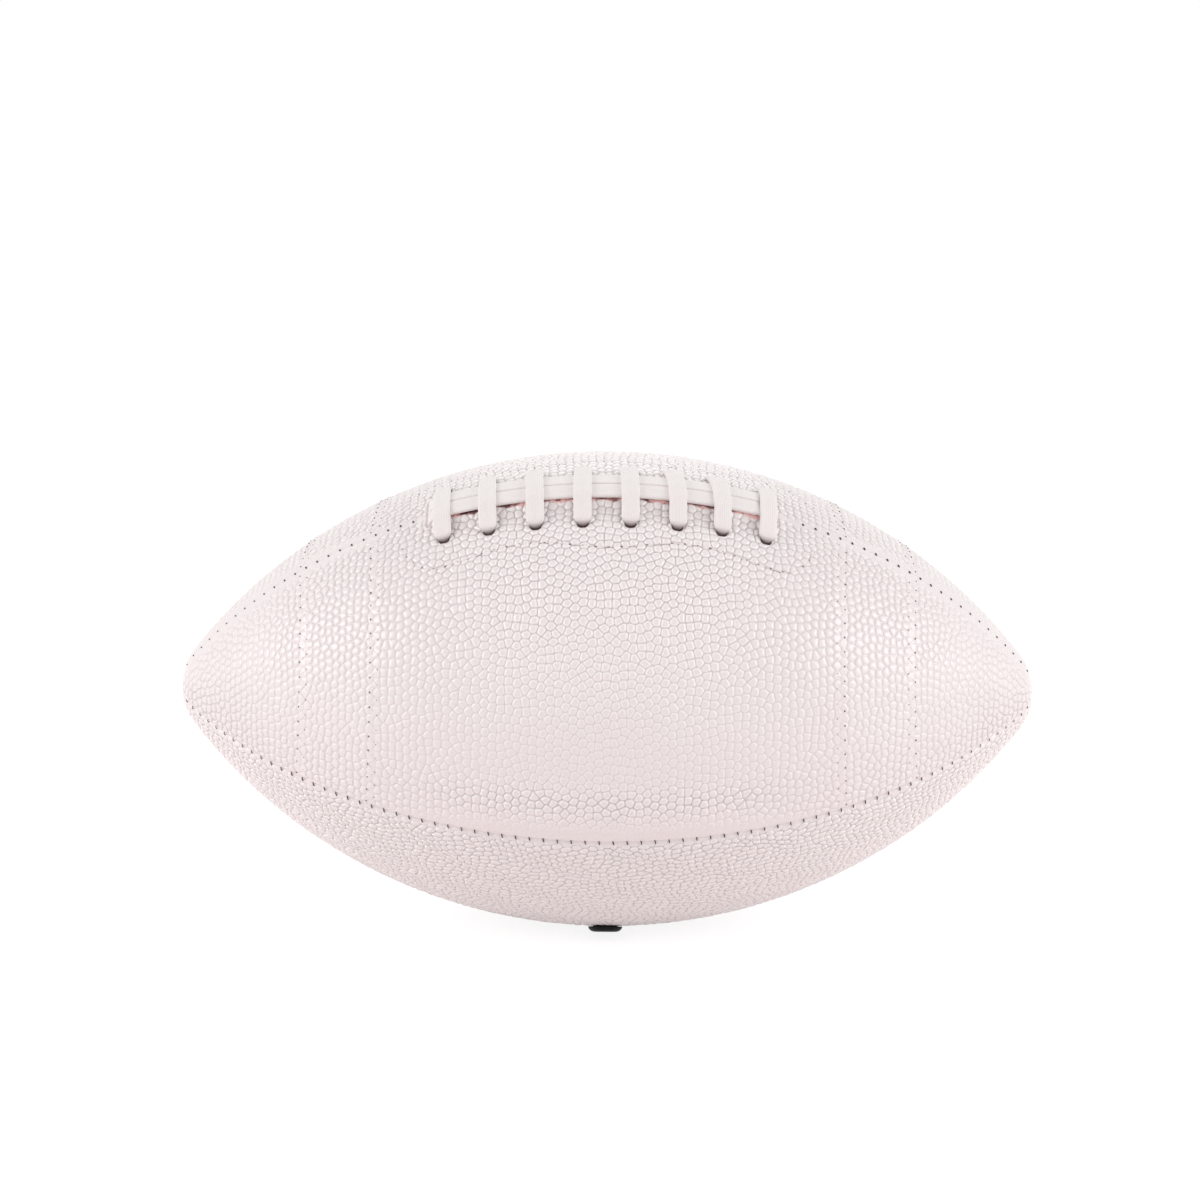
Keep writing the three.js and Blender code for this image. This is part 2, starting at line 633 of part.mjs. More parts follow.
function valveGeometry() {
  const [bore, stem] = [NEEDLE_BORE / 2, VALVE_STEM_DIAMETER / 2];
  const [face, head] = [VALVE_FACE_DIAMETER / 2, VALVE_HEAD_DIAMETER / 2];
  const flange = VALVE_FLANGE_DIAMETER / 2;
  const crown = Array.from({ length: HEAD_STEPS + 1 }, (_, k) => {
    const angle = ((k / HEAD_STEPS) * Math.PI) / 2;
    return [face + (head - face) * Math.cos(angle), HEAD_BASE + VALVE_HEAD_HEIGHT * Math.sin(angle)];
  });
  return lathe([
    [bore, STEM_END],
    [stem, STEM_END],
    [stem, FLANGE_BASE],
    [flange, FLANGE_BASE],
    [flange, FLANGE_TOP],
    [stem, FLANGE_TOP],
    [stem, HEAD_BASE],
    ...crown,
    [bore, HEAD_TOP],
  ]);
}

function patchGeometry() {
  const rim = VALVE_PATCH_DIAMETER / 2;
  return lathe([[STEM_HOLE, PATCH_BASE], [rim, PATCH_BASE], [rim, PATCH_TOP], [STEM_HOLE, PATCH_TOP]]);
}

function stemTool() {
  const length = 2 * (HEAD_TOP - STEM_END);
  const tool = new THREE.CylinderGeometry(STEM_HOLE, STEM_HOLE, length, ROUND_SIDES).rotateX(Math.PI / 2);
  return setAt(tool, 0, VALVE_TURN, 0);
}

// The bladder fills the cover, and gives way under the lacing and under the valve's patch
const DENT_FADE = 22;
const BLADDER_ROW_STEP = (2 * PANEL_REACH) / BLADDER_ROWS;
const BLADDER_COLUMN_STEP = (2 * Math.PI * RADIUS) / BLADDER_COLUMNS;
const LACING_DENT = BLADDER_UNDER_LACING - BLADDER_TOP;
const VALVE_DENT = -PATCH_BASE + LAYER_GAP - BLADDER_TOP;

// 1 within a distance, falling smoothly to 0 over the fade
function fade(distance, within) {
  return 1 - THREE.MathUtils.smoothstep(distance, within, within + DENT_FADE);
}

function bladderDepth(s, turn) {
  const { radius } = outline(s);
  const fromLacing = Math.abs(THREE.MathUtils.euclideanModulo(turn - LACING + Math.PI, 2 * Math.PI) - Math.PI);
  const fromValve = Math.abs(THREE.MathUtils.euclideanModulo(turn - VALVE_TURN + Math.PI, 2 * Math.PI) - Math.PI);
  const columnRoom = BLADDER_COLUMN_STEP * (1 - BLADDER_CROWDING / 2);
  const facing = FACING_WIDTH + FACING_WAVE;
  const lacing = fade(Math.abs(s), FACING_REACH + BLADDER_ROW_STEP / 2) * fade(fromLacing * radius, facing + columnRoom);
  const patch = VALVE_PATCH_DIAMETER / 2 + BLADDER_COLUMN_STEP;
  const valve = fade(Math.hypot(s, fromValve * radius), patch);
  return BLADDER_TOP + LACING_DENT * lacing + VALVE_DENT * valve;
}

function bladderSkin(wall) {
  const rings = Array.from({ length: BLADDER_ROWS + 1 }, (_, i) => {
    const s = PANEL_REACH * ((2 * i) / BLADDER_ROWS - 1);
    return Array.from({ length: BLADDER_COLUMNS }, (_, k) => {
      const even = (-2 * Math.PI * k) / BLADDER_COLUMNS;
      const turn = LACING + even - BLADDER_CROWDING * Math.sin(even);
      return place(s, turn, -bladderDepth(s, turn) - wall);
    });
  });
  return loft(rings);
}

function bladderGeometry() {
  return cut(bladderSkin(0), [bladderSkin(BLADDER_WALL), stemTool()]);
}

// Seam threads lie drawn tight in the gap between two panels
const SEAM_THREAD_END = PANEL_REACH - SEAM_THREAD_SHORT;

function seamThreadGeometry(turn, from, to) {
  const steps = Math.ceil((to - from) / SEAM_THREAD_STEP);
  return thread(
    Array.from({ length: steps + 1 }, (_, k) => {
      const s = THREE.MathUtils.lerp(from, to, k / steps);
      return place(s, turn, -SEAM_THREAD_DEPTH);
    }),
  );
}

// Assembly
const [FRONT, BACK, BOTTOM_BACK, BOTTOM_FRONT] = PANELS;
const cutters = {
  [FRONT.name]: () => [...laceHoles(-1), ...endOpenings()],
  [BACK.name]: () => [...laceHoles(1), ...endOpenings()],
  [BOTTOM_BACK.name]: () => [],
  [BOTTOM_FRONT.name]: () => [stemTool()],
};
for (const panel of PANELS) {
  add(`panel_${panel.name}`, cut(panelGeometry(panel), cutters[panel.name]()), whiteLeather);
  add(`lining_${panel.name}`, cut(liningGeometry(panel), cutters[panel.name]()), liningCloth);
}
for (const panel of [FRONT, BACK]) {
  for (const [sideName, side] of [["left", -1], ["right", 1]]) {
    const name = `${panel.name}_${sideName}`;
    add(`stripe_${name}`, stripeGeometry(panel, side), stripeLeather);
    add(`stripe_thread_${name}_inner`, zigzagGeometry(panel, side, STRIPE_START), paleThread);
    add(`stripe_thread_${name}_outer`, zigzagGeometry(panel, side, STRIPE_END), paleThread);
  }
}
for (const [panel, side] of [[FRONT, -1], [BACK, 1]]) {
  add(`lace_facing_${panel.name}`, facingGeometry(side), liningCloth);
  add(`facing_thread_${panel.name}`, facingThreadGeometry(side), paleThread);
}
add("tongue", tongueGeometry(), liningCloth);
const lace = laceRings(rounded(laceRoute()));
const { least, run } = leastGap(lace);
console.log(`lace: ${run.toFixed(0)} mm long, least gap to itself ${least.toFixed(2)} mm`);
add("lace", loft(lace), laceWeave);

add("seam_thread_front", seamThreadGeometry(FRONT_SEAM, -SEAM_THREAD_END, SEAM_THREAD_END), seamThread);
add("seam_thread_back", seamThreadGeometry(BACK_SEAM, -SEAM_THREAD_END, SEAM_THREAD_END), seamThread);
add("seam_thread_bottom", seamThreadGeometry(BOTTOM_SEAM, -SEAM_THREAD_END, SEAM_THREAD_END), seamThread);
const SEAM_OPENS = LACE_END + HOLE_HALF_WIDTH + SEAM_THREAD_SHORT;
add("seam_thread_top_left", seamThreadGeometry(LACING, -SEAM_THREAD_END, -SEAM_OPENS), seamThread);
add("seam_thread_top_right", seamThreadGeometry(LACING, SEAM_OPENS, SEAM_THREAD_END), seamThread);

add("bladder", bladderGeometry(), bladderRubber);
add("valve", setAt(valveGeometry(), 0, VALVE_TURN, 0), valveRubber);
add("valve_patch", setAt(patchGeometry(), 0, VALVE_TURN, 0), bladderRubber);

export default football;
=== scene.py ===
"""American football: pebbled leather, sewn stripes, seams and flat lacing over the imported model.

Shapes are worked out in millimetres and become metres where a mesh is made.
"""

import math

import bpy
import numpy as np
from mathutils import Matrix, Vector


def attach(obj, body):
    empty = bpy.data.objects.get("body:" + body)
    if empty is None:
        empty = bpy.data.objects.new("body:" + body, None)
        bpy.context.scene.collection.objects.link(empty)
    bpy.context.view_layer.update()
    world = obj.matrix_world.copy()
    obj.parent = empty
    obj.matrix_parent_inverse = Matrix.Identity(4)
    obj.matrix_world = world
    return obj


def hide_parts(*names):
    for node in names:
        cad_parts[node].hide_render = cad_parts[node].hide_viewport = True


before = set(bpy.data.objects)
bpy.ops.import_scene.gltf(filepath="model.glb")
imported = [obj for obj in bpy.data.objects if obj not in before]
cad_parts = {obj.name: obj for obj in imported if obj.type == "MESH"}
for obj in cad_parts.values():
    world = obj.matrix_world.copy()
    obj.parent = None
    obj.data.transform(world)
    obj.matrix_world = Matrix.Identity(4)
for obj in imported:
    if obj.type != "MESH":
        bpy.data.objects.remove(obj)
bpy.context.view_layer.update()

MM = 0.001

# A pair of values, such as a FADE, is where something starts and where it is at its full strength.

# Ball
BALL_LENGTH = 280.0
RADIUS = 78.0
NOSE_RADIUS = 20.0
TIP_HOLE_RADIUS = 0.15
TIP_DIMPLE_RADIUS = 4.5
TIP_DIMPLE_DEPTH = 0.9
LACING = math.radians(65)
UPPER_PANEL_SPAN = math.radians(91)

# Seams
SEAM_ROLL_WIDTH = 2.6
SEAM_ROLL_DEPTH = 0.8
SEAM_ROLL_CURVE = 2.2
SEAM_ROLL_SHARE = 0.2  # of the width of a panel, at most
LACED_SEAM_SHARE = 0.5  # depth of the laced seam, beside the other seams'
SEAM_RIDGE_HEIGHT = 0.14
SEAM_RIDGE_INSET = 4.6
SEAM_RIDGE_WIDTH = 1.0
SEAM_RIDGE_FADE = (8, 20)  # by the panel's width
FLANGE_DEPTH = 3.2
SEAM_PITCH = 4.4
SEAM_STITCH = (2.0, 0.36, 0.65)  # length, thickness and depth
TOP_SEAM_STITCH = (1.2, 0.52, 0.5)
SEAM_STITCH_SLANT = 0.35
SEAM_STITCH_ARCH = 0.35
SEAM_STITCH_LEAST = 0.7  # share of its size near the points of the ball
SEAM_STITCH_FADE = (138, 100)
SEAM_END_GAP = 6.45
SEAM_LACING_GAP = 5.0

# Leather grain
PEBBLE_PITCH = 2.95
PEBBLE_JITTER = 0.42
PEBBLE_HEIGHT = 0.4
PEBBLE_LIFT = 0.15
PEBBLE_SUNK = 0.75
PEBBLE_SHOULDER = 0.34
PEBBLE_SHOULDER_CURVE = 1.8
PEBBLE_DOME_FADE = (-0.3, 1.3)
ROUNDNESS = 0.12
END_ROUNDNESS = 0.28
END_FADE = (25, 75)
CORNER_ROUND = 0.1
GRAIN_SEED = 11
BOTTOM_SQUEEZE = 1.35
BOTTOM_SWAY = 0.016
BOTTOM_SWAY_TURN = 27.0  # waves of the sway, in radians for each radian around the ball
BOTTOM_SWAY_ALONG = 0.16  # and for each millimetre along it

# Strength of the grain and of the painted highlight and shade rings on its pebbles. UP goes from 0
# at an upper panel's lower seam to 1 at the lacing, and REACH is the distance from the middle of
# the ball.
BOTTOM_PLAIN_EDGE = 2.4
BOTTOM_RELIEF = 1.5
BOTTOM_RING_PAINT = 0.8
PLAIN_EDGE = 2.6
LOW_PLAIN_EDGE = 6.5
LOW_PLAIN_REACH = (82, 30)
TOP_PLAIN_EDGE = 4.4
TOP_PLAIN_REACH = (66, 92)
PLAIN_START = 0.3
PLAIN_START_SHIFT = 0.7
PLAIN_GRAIN = 0.12
LEAST_RELIEF = 0.45
HIGH_RELIEF = 0.95
HIGH_UP_FADE = (0.2, 0.82)
LOW_CORNER_RELIEF = 1.3
LOW_CORNER_REACH = (30, 95)
LOW_TIP_RELIEF = 0.6
LOW_TIP_REACH = (115, 140)
FLANK_RELIEF = 0.5
FLANK_UP_FADE = (0.7, 0.92)
FLANK_INNER_FADE = (30, 55)
FLANK_OUTER_FADE = (105, 85)
LOW_BAND_RELIEF = 0.8
LOW_BAND_UP = 0.115
LOW_BAND_WIDTH = 0.05
LOW_BAND_REACH = (75, 40)
END_RELIEF_LOSS = 0.3
TIP_RELIEF_LOSS = 0.3
TIP_LOSS_REACH = (104, 126)
TIP_LOSS_UP_FADE = (0.3, 0.6)
SEWN_RELIEF_LOSS = 0.6
SEWN_FADE = (2.3, 0.9)
END_RING_PAINT_LOSS = 0.6

# Stripes
STRIPE_START = 78.8
STRIPE_WIDTH = 26.8
STRIPE_BOW = 2.1
ZIGZAG_PITCH = 4.6
ZIGZAG_WIDTH = 2.7
ZIGZAG_MARGIN = 2.0
ZIGZAG_THREAD = 0.3
ZIGZAG_ARCH = 0.18
ZIGZAG_DEPTH = 0.2
NEEDLE_HOLE = 0.34
NEEDLE_ROWS = (0.95, 0.55)  # shares of its size in the outer and the inner row
NEEDLE_SPREAD = (0.7, 1.05)
NEEDLE_THICKNESS = 0.22
NEEDLE_HEIGHT = 0.02

# Lacing
LACE_WIDTH = 5.8
LACE_THICKNESS = 1.3
LACE_EDGE_ROUND = 0.55
LACE_RIB_HEIGHT = 0.045
LACE_RIB_PITCH = 0.72
LACE_PICK_PITCH = 0.62
LACE_GAP = 0.12
LACE_FOLD = 2.0
LACE_TAIL = 14.0
LACE_INSIDE = 7.2
LACE_STEP = 0.8
LACE_OVERHANG = 5.5
LACE_HOLE_FADE = (1.7, -0.3)  # by its height, on its way into a hole
LACE_INSIDE_FADE = (-6.5, -3.5)
LACE_DRAWN_IN = 0.5  # share of its width lost in a hole
LACE_CUP, LACE_HOLE_CUP = 0.1, 0.55
LACE_STEEP_TURN = 2.0
LENGTHWISE_FADE = (0.5, 0.8)
LENGTHWISE = 0.9
# Painted shade on the tape as it goes down into a hole, by its height
LACE_PAINTED_SHADE_FADE = (1.9, -0.4)
LACE_END_PAINTED_SHADE_LOSS = 0.9
CROSSES = 8
CROSS_PITCH = 14.5
HOLE_SPREAD = 30.0
HOLE_HALF_LENGTH = 0.4
HOLE_OPEN = 0.75
HOLE_DEPTH = 4.4
HOLE_RIM_FADE = (1.4, HOLE_OPEN)
# Painted shade round the lace holes, by the distance from a hole's middle line
PAINTED_HOLE_SHADE_FADE = (1.3, 0.85)
HOLE_GRAIN_FADE = (1.2, 2.3)
FRONT_HOLES = (-52.6, -37.9, -22.9, -8.1, 6.9, 21.8, 35.9, 50.4)
BACK_HOLES = (-53.0, -38.4, -23.5, -8.2, 5.9, 19.6, 33.4, 50.4)
STRAND_ENDS = (-58.0, 53.4)
STRAND_SHIFT = 0.9
STRAND_ARCH = 0.5
STRAND_DIP_FADE = (-7, 2)
STRAND_POINTS = 34
END_DIP = 1.2
END_DIP_FADE = (1.6, 0.2)
RIDGE_RISE = 1.6
RIDGE_FADE = (4.5, -2.0)
RIDGE_END_FADE = (5, -4)
PRESSED_LOSS = 0.8
PRESSED_FADE = (2.0, -0.6)
PRESSED_END_FADE = (2, -1)
SLIT_EDGE = 0.45
SLIT_WAVES = ((0.3, 0.41, 1.0), (0.25, 1.13, 0.0))  # size, radians for each millimetre, and start
SLIT_FADE = (0.3, -0.5)
SLIT_END_FADE = (-3, -6)

# Lace facings
FACING_WIDTH = 24.1
FACING_WAVE = 1.6
FACING_WAVELENGTH = 54.0
FACING_END_ROUND = 14.0
FACING_OVERHANG = 12.0
FACING_END_WIDTH = 5.0
FACING_GROOVE_DEPTH = 0.3
FACING_GROOVE_WIDTH = 0.4
FACING_GROOVE_STOP = 1.0
FACING_STITCH_INSET = 1.5
FACING_STITCH_DEPTH = 0.42
FACING_STITCH_ARCH = 0.2
FACING_PITCH = 4.0
FACING_THREAD = 0.4
FACING_SEED = 31
FACING_NEEDLE = (0.75, 0.24, 0.2)  # half its size along, across and outwards
FACING_NEEDLE_DEPTH = 0.3
FACING_NEEDLE_SPREAD = (0.4, 1.0)
BACK_NEEDLE_SHARE = 0.5

# Valve
VALVE_HEAD_DIAMETER = 11.2
VALVE_FACE_DIAMETER = 6.6
VALVE_HEAD_BASE = 0.3
VALVE_HEAD_HEIGHT = 1.8
VALVE_UNDERCUT = 0.4
VALVE_LIP = 0.35
VALVE_STEM_RADIUS = 4.0
VALVE_STEM_END = -16.0
VALVE_FLANGE_RADIUS = 9.0
VALVE_FLANGE_TOP = -6.0
VALVE_FLANGE_THICKNESS = 1.2
VALVE_OFFSET = 3.7
NEEDLE_BORE = 2.0

# Steps of the meshes
UPPER_GRID = 0.33
BOTTOM_GRID = 0.45
BOTTOM_COLUMN = 0.32
BEAD_RINGS, BEAD_SIDES = 7, 10
THREAD_STEPS, THREAD_SIDES, FINE_THREAD_SIDES = 9, 8, 6
THREAD_END = 0.55  # share of a thread's thickness at its ends
FACING_POINTS = 1200
LACE_FACE_POINTS, LACE_EDGE_POINTS = 15, 7
LACE_BEND_STEP = math.radians(11)
VALVE_BEND_STEPS, VALVE_SIDES = 12, 64

# Outline of the ball
NOSE_CENTRE = BALL_LENGTH / 2 - NOSE_RADIUS
ARC_RADIUS = (NOSE_CENTRE**2 + RADIUS**2 - NOSE_RADIUS**2) / (2 * (RADIUS - NOSE_RADIUS))
NOSE_LEAN = math.asin(NOSE_CENTRE / (ARC_RADIUS - NOSE_RADIUS))
ARC_REACH = ARC_RADIUS * NOSE_LEAN
PANEL_REACH = ARC_REACH + NOSE_RADIUS * (math.acos(TIP_HOLE_RADIUS / NOSE_RADIUS) - NOSE_LEAN)
STRIPE_END = STRIPE_START + STRIPE_WIDTH

FRONT_SEAM = LACING - UPPER_PANEL_SPAN
BACK_SEAM = LACING + UPPER_PANEL_SPAN
BOTTOM_SEAM = LACING + math.pi


def outline(s):
    """x, radius and lean of the normal at a distance s along the surface from the ball's middle."""
    s = np.asarray(s, float)
    reach = np.abs(s)
    on_arc = reach < ARC_REACH
    lean = np.where(on_arc, reach / ARC_RADIUS, NOSE_LEAN + (reach - ARC_REACH) / NOSE_RADIUS)
    x = np.where(on_arc, ARC_RADIUS * np.sin(lean), NOSE_CENTRE + NOSE_RADIUS * np.sin(lean))
    radius = np.where(on_arc, RADIUS - ARC_RADIUS * (1 - np.cos(lean)), NOSE_RADIUS * np.cos(lean))
    return np.sign(s) * x, radius, np.sign(s) * lean


def place(s, turn, height):
    """Points at a height above the outer surface, at a turn from -Y up towards +Z."""
    x, radius, lean = outline(s)
    spoke = radius + height * np.cos(lean)
    return np.stack([x + height * np.sin(lean), -spoke * np.cos(turn), spoke * np.sin(turn)], -1)


def smooth(low, high, value):
    """0 at low and 1 at high, with an easy change between them."""
    t = np.clip((value - low) / (high - low), 0, 1)
    return t * t * (3 - 2 * t)


def bell(value, middle, width):
    """1 at the middle, and towards 0 on both sides of it."""
    return np.exp(-(((value - middle) / width) ** 2))


def unit(vectors):
    return vectors / np.linalg.norm(vectors, axis=-1, keepdims=True)


def distance_run(line):
    """Distance along a line of points, at each of them."""
    return np.concatenate([[0], np.cumsum(np.linalg.norm(np.diff(line, axis=0), axis=1))])


# Meshes


def new_object(name, data):
    obj = bpy.data.objects.new(name, data)
    bpy.context.scene.collection.objects.link(obj)
    return obj


def piece(name, points, faces, materials, attributes=None, face_slots=None, normals=None):
    mesh = bpy.data.meshes.new(name)
    mesh.from_pydata((np.asarray(points) * MM).tolist(), [], [list(map(int, f)) for f in faces])
    for key, values in (attributes or {}).items():
        layer = mesh.attributes.new(key, "FLOAT", "POINT")
        layer.data.foreach_set("value", np.asarray(values, np.float32))
    for material in materials:
        mesh.materials.append(material)
    if face_slots is not None:
        mesh.polygons.foreach_set("material_index", np.asarray(face_slots, np.int32))
    mesh.shade_smooth()
    if normals is not None:
        mesh.normals_split_custom_set_from_vertices(normals.tolist())
    return new_object(name, mesh)


def dress(obj, slot, *nodes):
    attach(obj, "root")
    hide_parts(*nodes)
    return obj


def grid_faces(rows, columns):
    a = np.arange(rows * columns).reshape(rows, columns)
    return np.stack([a[:-1, :-1], a[1:, :-1], a[1:, 1:], a[:-1, 1:]], -1).reshape(-1, 4)


def tube_faces(rings, sides):
    a = np.arange(rings * sides).reshape(rings, sides)
    b = np.roll(a, -1, 1)
    quads = np.stack([a[:-1], b[:-1], b[1:], a[1:]], -1).reshape(-1, 4)
    return [*quads.tolist(), a[0, ::-1].tolist(), a[-1].tolist()]


class Bundle:
    """Several small bodies gathered into one mesh."""

    def __init__(self):
        self.points, self.faces, self.slots, self.count = [], [], [], 0

    def add(self, points, faces, slot=0):
        self.points.append(points)
        self.faces.extend([[v + self.count for v in f] for f in faces])
        self.slots.extend([slot] * len(faces))
        self.count += len(points)

    def make(self, name, materials):
        points = np.concatenate(self.points)
        return piece(name, points, self.faces, materials, face_slots=self.slots)


def tube(line, radius, sides=THREAD_SIDES):
    """A round thread along points, with its ends drawn in."""
    line = np.asarray(line, float)
    forward = unit(np.gradient(line, axis=0))
    side = unit(np.cross(unit(line * [0, 1, 1]), forward))
    up = np.cross(forward, side)
    angle = math.tau * np.arange(sides) / sides
    size = np.full(len(line), radius)
    size[[0, -1]] *= THREAD_END
    ring = side[:, None] * np.cos(angle)[:, None] + up[:, None] * np.sin(angle)[:, None]
    points = line[:, None] + ring * size[:, None, None]
    return points.reshape(-1, 3), tube_faces(len(line), sides)


# Materials


class Nodes:
    """The node tree of a new material, or of another owner, built by name."""

    def __init__(self, name, owner=None):
        self.owner = owner or bpy.data.materials.new(name)
        self.owner.use_nodes = True
        self.tree = self.owner.node_tree
        self.shader = self.tree.nodes.get("Principled BSDF")

    def new(self, kind, **settings):
        """A shader node, with its settings and sockets given by name."""
        node = self.tree.nodes.new("ShaderNode" + kind)
        for key, value in settings.items():
            if key in node.inputs:
                self.feed(node.inputs[key], value)
            else:
                setattr(node, key, value)
        return node

    def feed(self, socket, value):
        """A constant is set on the socket, and anything else is linked to it."""
        if isinstance(value, (int, float, tuple)):
            socket.default_value = value
        else:
            self.tree.links.new(value, socket)

    def set(self, values):
        for name, value in values.items():
            self.feed(self.shader.inputs[name], value)

    def attribute(self, name):
        return self.new("Attribute", attribute_name=name).outputs["Fac"]

    def math(self, operation, *values):
        node = self.new("Math", operation=operation)
        for socket, value in zip(node.inputs, values):
            self.feed(socket, value)
        return node.outputs[0]

    def times(self, first, *factors):
        for factor in factors:
            first = self.math("MULTIPLY", first, factor)
        return first

    def mix(self, share, first, second):
        node = self.new("Mix", data_type="RGBA")
        for index, value in ((0, share), (6, first), (7, second)):
            self.feed(node.inputs[index], value)
        return node.outputs[2]

    def coordinates(self):
        return self.new("TexCoord").outputs["Object"]

    def noise(self, scale, detail, roughness=0.6):
        texture = self.new("TexNoise", Scale=scale, Detail=detail, Roughness=roughness)
        self.feed(texture.inputs["Vector"], self.coordinates())
        return texture.outputs["Fac"]

    def remap(self, value, low, high):
        """A value from 0 to 1 as one from low to high."""
        limits = {"To Min": low, "To Max": high}
        return self.new("MapRange", Value=value, **limits).outputs["Result"]

    def ramp(self, value, low, high):
        """The same as smooth, in nodes."""
        settings = {"From Min": low, "From Max": high, "interpolation_type": "SMOOTHSTEP"}
        return self.new("MapRange", Value=value, **settings).outputs["Result"]

    def bump(self, height, strength, distance):
        node = self.new("Bump", Strength=strength, Distance=distance, Height=height)
        self.set({"Normal": node.outputs["Normal"]})


# Scales of the noise, and depths of the bumps in metres
PATCH_NOISE, SLIT_SHADOW_NOISE, FINE_NOISE, FUZZ_NOISE = 45.0, 170.0, 2600.0, 900.0
TWIST_NOISE, MOTTLE_NOISE, RUBBER_NOISE, CLOTH_WAVES = 1400.0, 220.0, 1500.0, 420.0
LEATHER_BUMP, TAPE_BUMP, THREAD_BUMP = 0.00018, 0.00008, 0.00008
RUBBER_BUMP, CLOTH_BUMP = 0.00005, 0.0002

# Leather, by the distance from a valley: a painted highlight on each pebble's shoulder, painted
# shade in its valleys and round the lace holes, and the slit's raw red edge with painted shadow in
# stretches
SHOULDER_RISE = (0.08, 0.26)
SHOULDER_FALL = (0.85, 0.45)
VALLEY_FADE = (0.28, 0.02)
PEBBLE_BUMP_FADE = (0.0, 0.5)
FINE_BUMP_SHARE = 0.06
SLIT_SHADOW_FADE = (0.42, 0.6)
LEATHER_ROUGHNESS = (0.22, 0.34)
SHOULDER_HIGHLIGHT = (0.97, 0.93, 0.92, 1)
SHOULDER_HIGHLIGHT_SHARE = 0.85
VALLEY_SHADE = (0.47, 0.44, 0.442, 1)
VALLEY_SHADE_SHARE = 0.45
PATCH_SHADE = (1.0, 0.975, 0.975, 1.0)
PAINTED_HOLE_SHADE = (0.09, 0.045, 0.045, 1)
# The slit: the raw red leather edge, then darker red and near black for its painted shadow
SLIT_PALE = (0.86, 0.5, 0.47, 1)
SLIT_SHADED_RED = (0.36, 0.12, 0.12, 1)
SLIT_DEEP_SHADOW = (0.06, 0.012, 0.015, 1)


def leather_material(name, tint):
    """Pale leather: a painted highlight round each pebble's shoulder, painted shade in the valleys
    and round the lace holes, and the slit at the lacing in raw red with painted shadow.
    """
    m = Nodes(name)
    shade = tuple(c * f for c, f in zip(tint, PATCH_SHADE))
    skin = m.mix(m.remap(m.noise(PATCH_NOISE, 3.0), -0.2, 1.2), tint, shade)
    edge, keep, ring = m.attribute("edge"), m.attribute("keep"), m.attribute("ring")
    # Painted highlight: a lighter ring on each pebble's shoulder, as strong as the ring attribute.
    shoulder = m.times(m.ramp(edge, *SHOULDER_RISE), m.ramp(edge, *SHOULDER_FALL))
    skin = m.mix(m.times(shoulder, ring, SHOULDER_HIGHLIGHT_SHARE), skin, SHOULDER_HIGHLIGHT)
    # Painted shade: a darker line in the valleys between pebbles.
    valley = m.ramp(edge, *VALLEY_FADE)
    skin = m.mix(m.times(valley, ring, VALLEY_SHADE_SHARE), skin, VALLEY_SHADE)
    # Painted shade round the lace holes.
    skin = m.mix(m.attribute("soil"), skin, PAINTED_HOLE_SHADE)
    slit = m.attribute("slit")
    # The slit beside the lacing: the raw red leather edge, darker red and near black in stretches
    # of painted shadow.
    slit_shadow = m.ramp(m.noise(SLIT_SHADOW_NOISE, 3.0), *SLIT_SHADOW_FADE)
    skin = m.mix(slit, skin, m.mix(slit_shadow, SLIT_PALE, SLIT_SHADED_RED))
    skin = m.mix(m.times(m.math("POWER", slit, 3.0), slit_shadow), skin, SLIT_DEEP_SHADOW)
    fine = m.noise(FINE_NOISE, 5.0, 0.65)
    m.set({"Base Color": skin, "Roughness": m.remap(fine, *LEATHER_ROUGHNESS)})
    m.set({"Specular IOR Level": 0.6, "Coat Weight": 0.25, "Coat Roughness": 0.2})
    pebble = m.times(m.ramp(edge, *PEBBLE_BUMP_FADE), keep)
    m.bump(m.math("ADD", pebble, m.times(fine, FINE_BUMP_SHARE)), 1.0, LEATHER_BUMP)
    return m.owner


RIB_SHARE, PICK_SHARE, PICK_WAVE, FUZZ_SHARE = 0.65, 0.35, 0.9, 0.8
LACE_SHADE = (0.84, 0.795, 0.78, 1)
LACE_LIGHT = (0.97, 0.945, 0.93, 1)
LACE_FUZZ = (0.95, 0.925, 0.915, 1)
# Painted shade for the tape's way into the holes
LACE_PAINTED_SHADE = (0.115, 0.066, 0.066, 1)
CLOTH_SHADE = (0.5, 0.45, 0.38, 1)
CLOTH_LIGHT = (0.74, 0.69, 0.6, 1)


def lace_material():
    """A flat woven tape: ribs along it, picks across them, and a little fuzz."""
    m = Nodes("lace_weave")
    ribs = m.math("SINE", m.times(m.attribute("across"), math.tau / LACE_RIB_PITCH))
    picks = m.times(m.attribute("along"), math.tau / LACE_PICK_PITCH)
    picks = m.math("SINE", m.math("ADD", picks, m.times(ribs, PICK_WAVE)))
    weave = m.math("ADD", m.times(ribs, RIB_SHARE), m.times(picks, PICK_SHARE))
    fuzz = m.noise(FUZZ_NOISE, 5.0, 0.7)
    thread = m.mix(m.remap(weave, 0.0, 0.45), LACE_SHADE, LACE_LIGHT)
    thread = m.mix(m.remap(fuzz, -0.2, 0.4), thread, LACE_FUZZ)
    # Painted shade where the tape goes down into a hole.
    thread = m.mix(m.attribute("soil"), thread, LACE_PAINTED_SHADE)
    m.set({"Base Color": thread, "Roughness": 0.82, "Sheen Weight": 0.15, "Sheen Roughness": 0.5})
    m.bump(m.math("ADD", weave, m.times(fuzz, FUZZ_SHARE)), 0.5, TAPE_BUMP)
    return m.owner


def thread_material(name, dark, light, roughness):
    m = Nodes(name)
    twist = m.noise(TWIST_NOISE, 3.0, 0.5)
    m.set({"Base Color": m.mix(twist, dark, light), "Roughness": roughness})
    m.bump(twist, 0.4, THREAD_BUMP)
    return m.owner


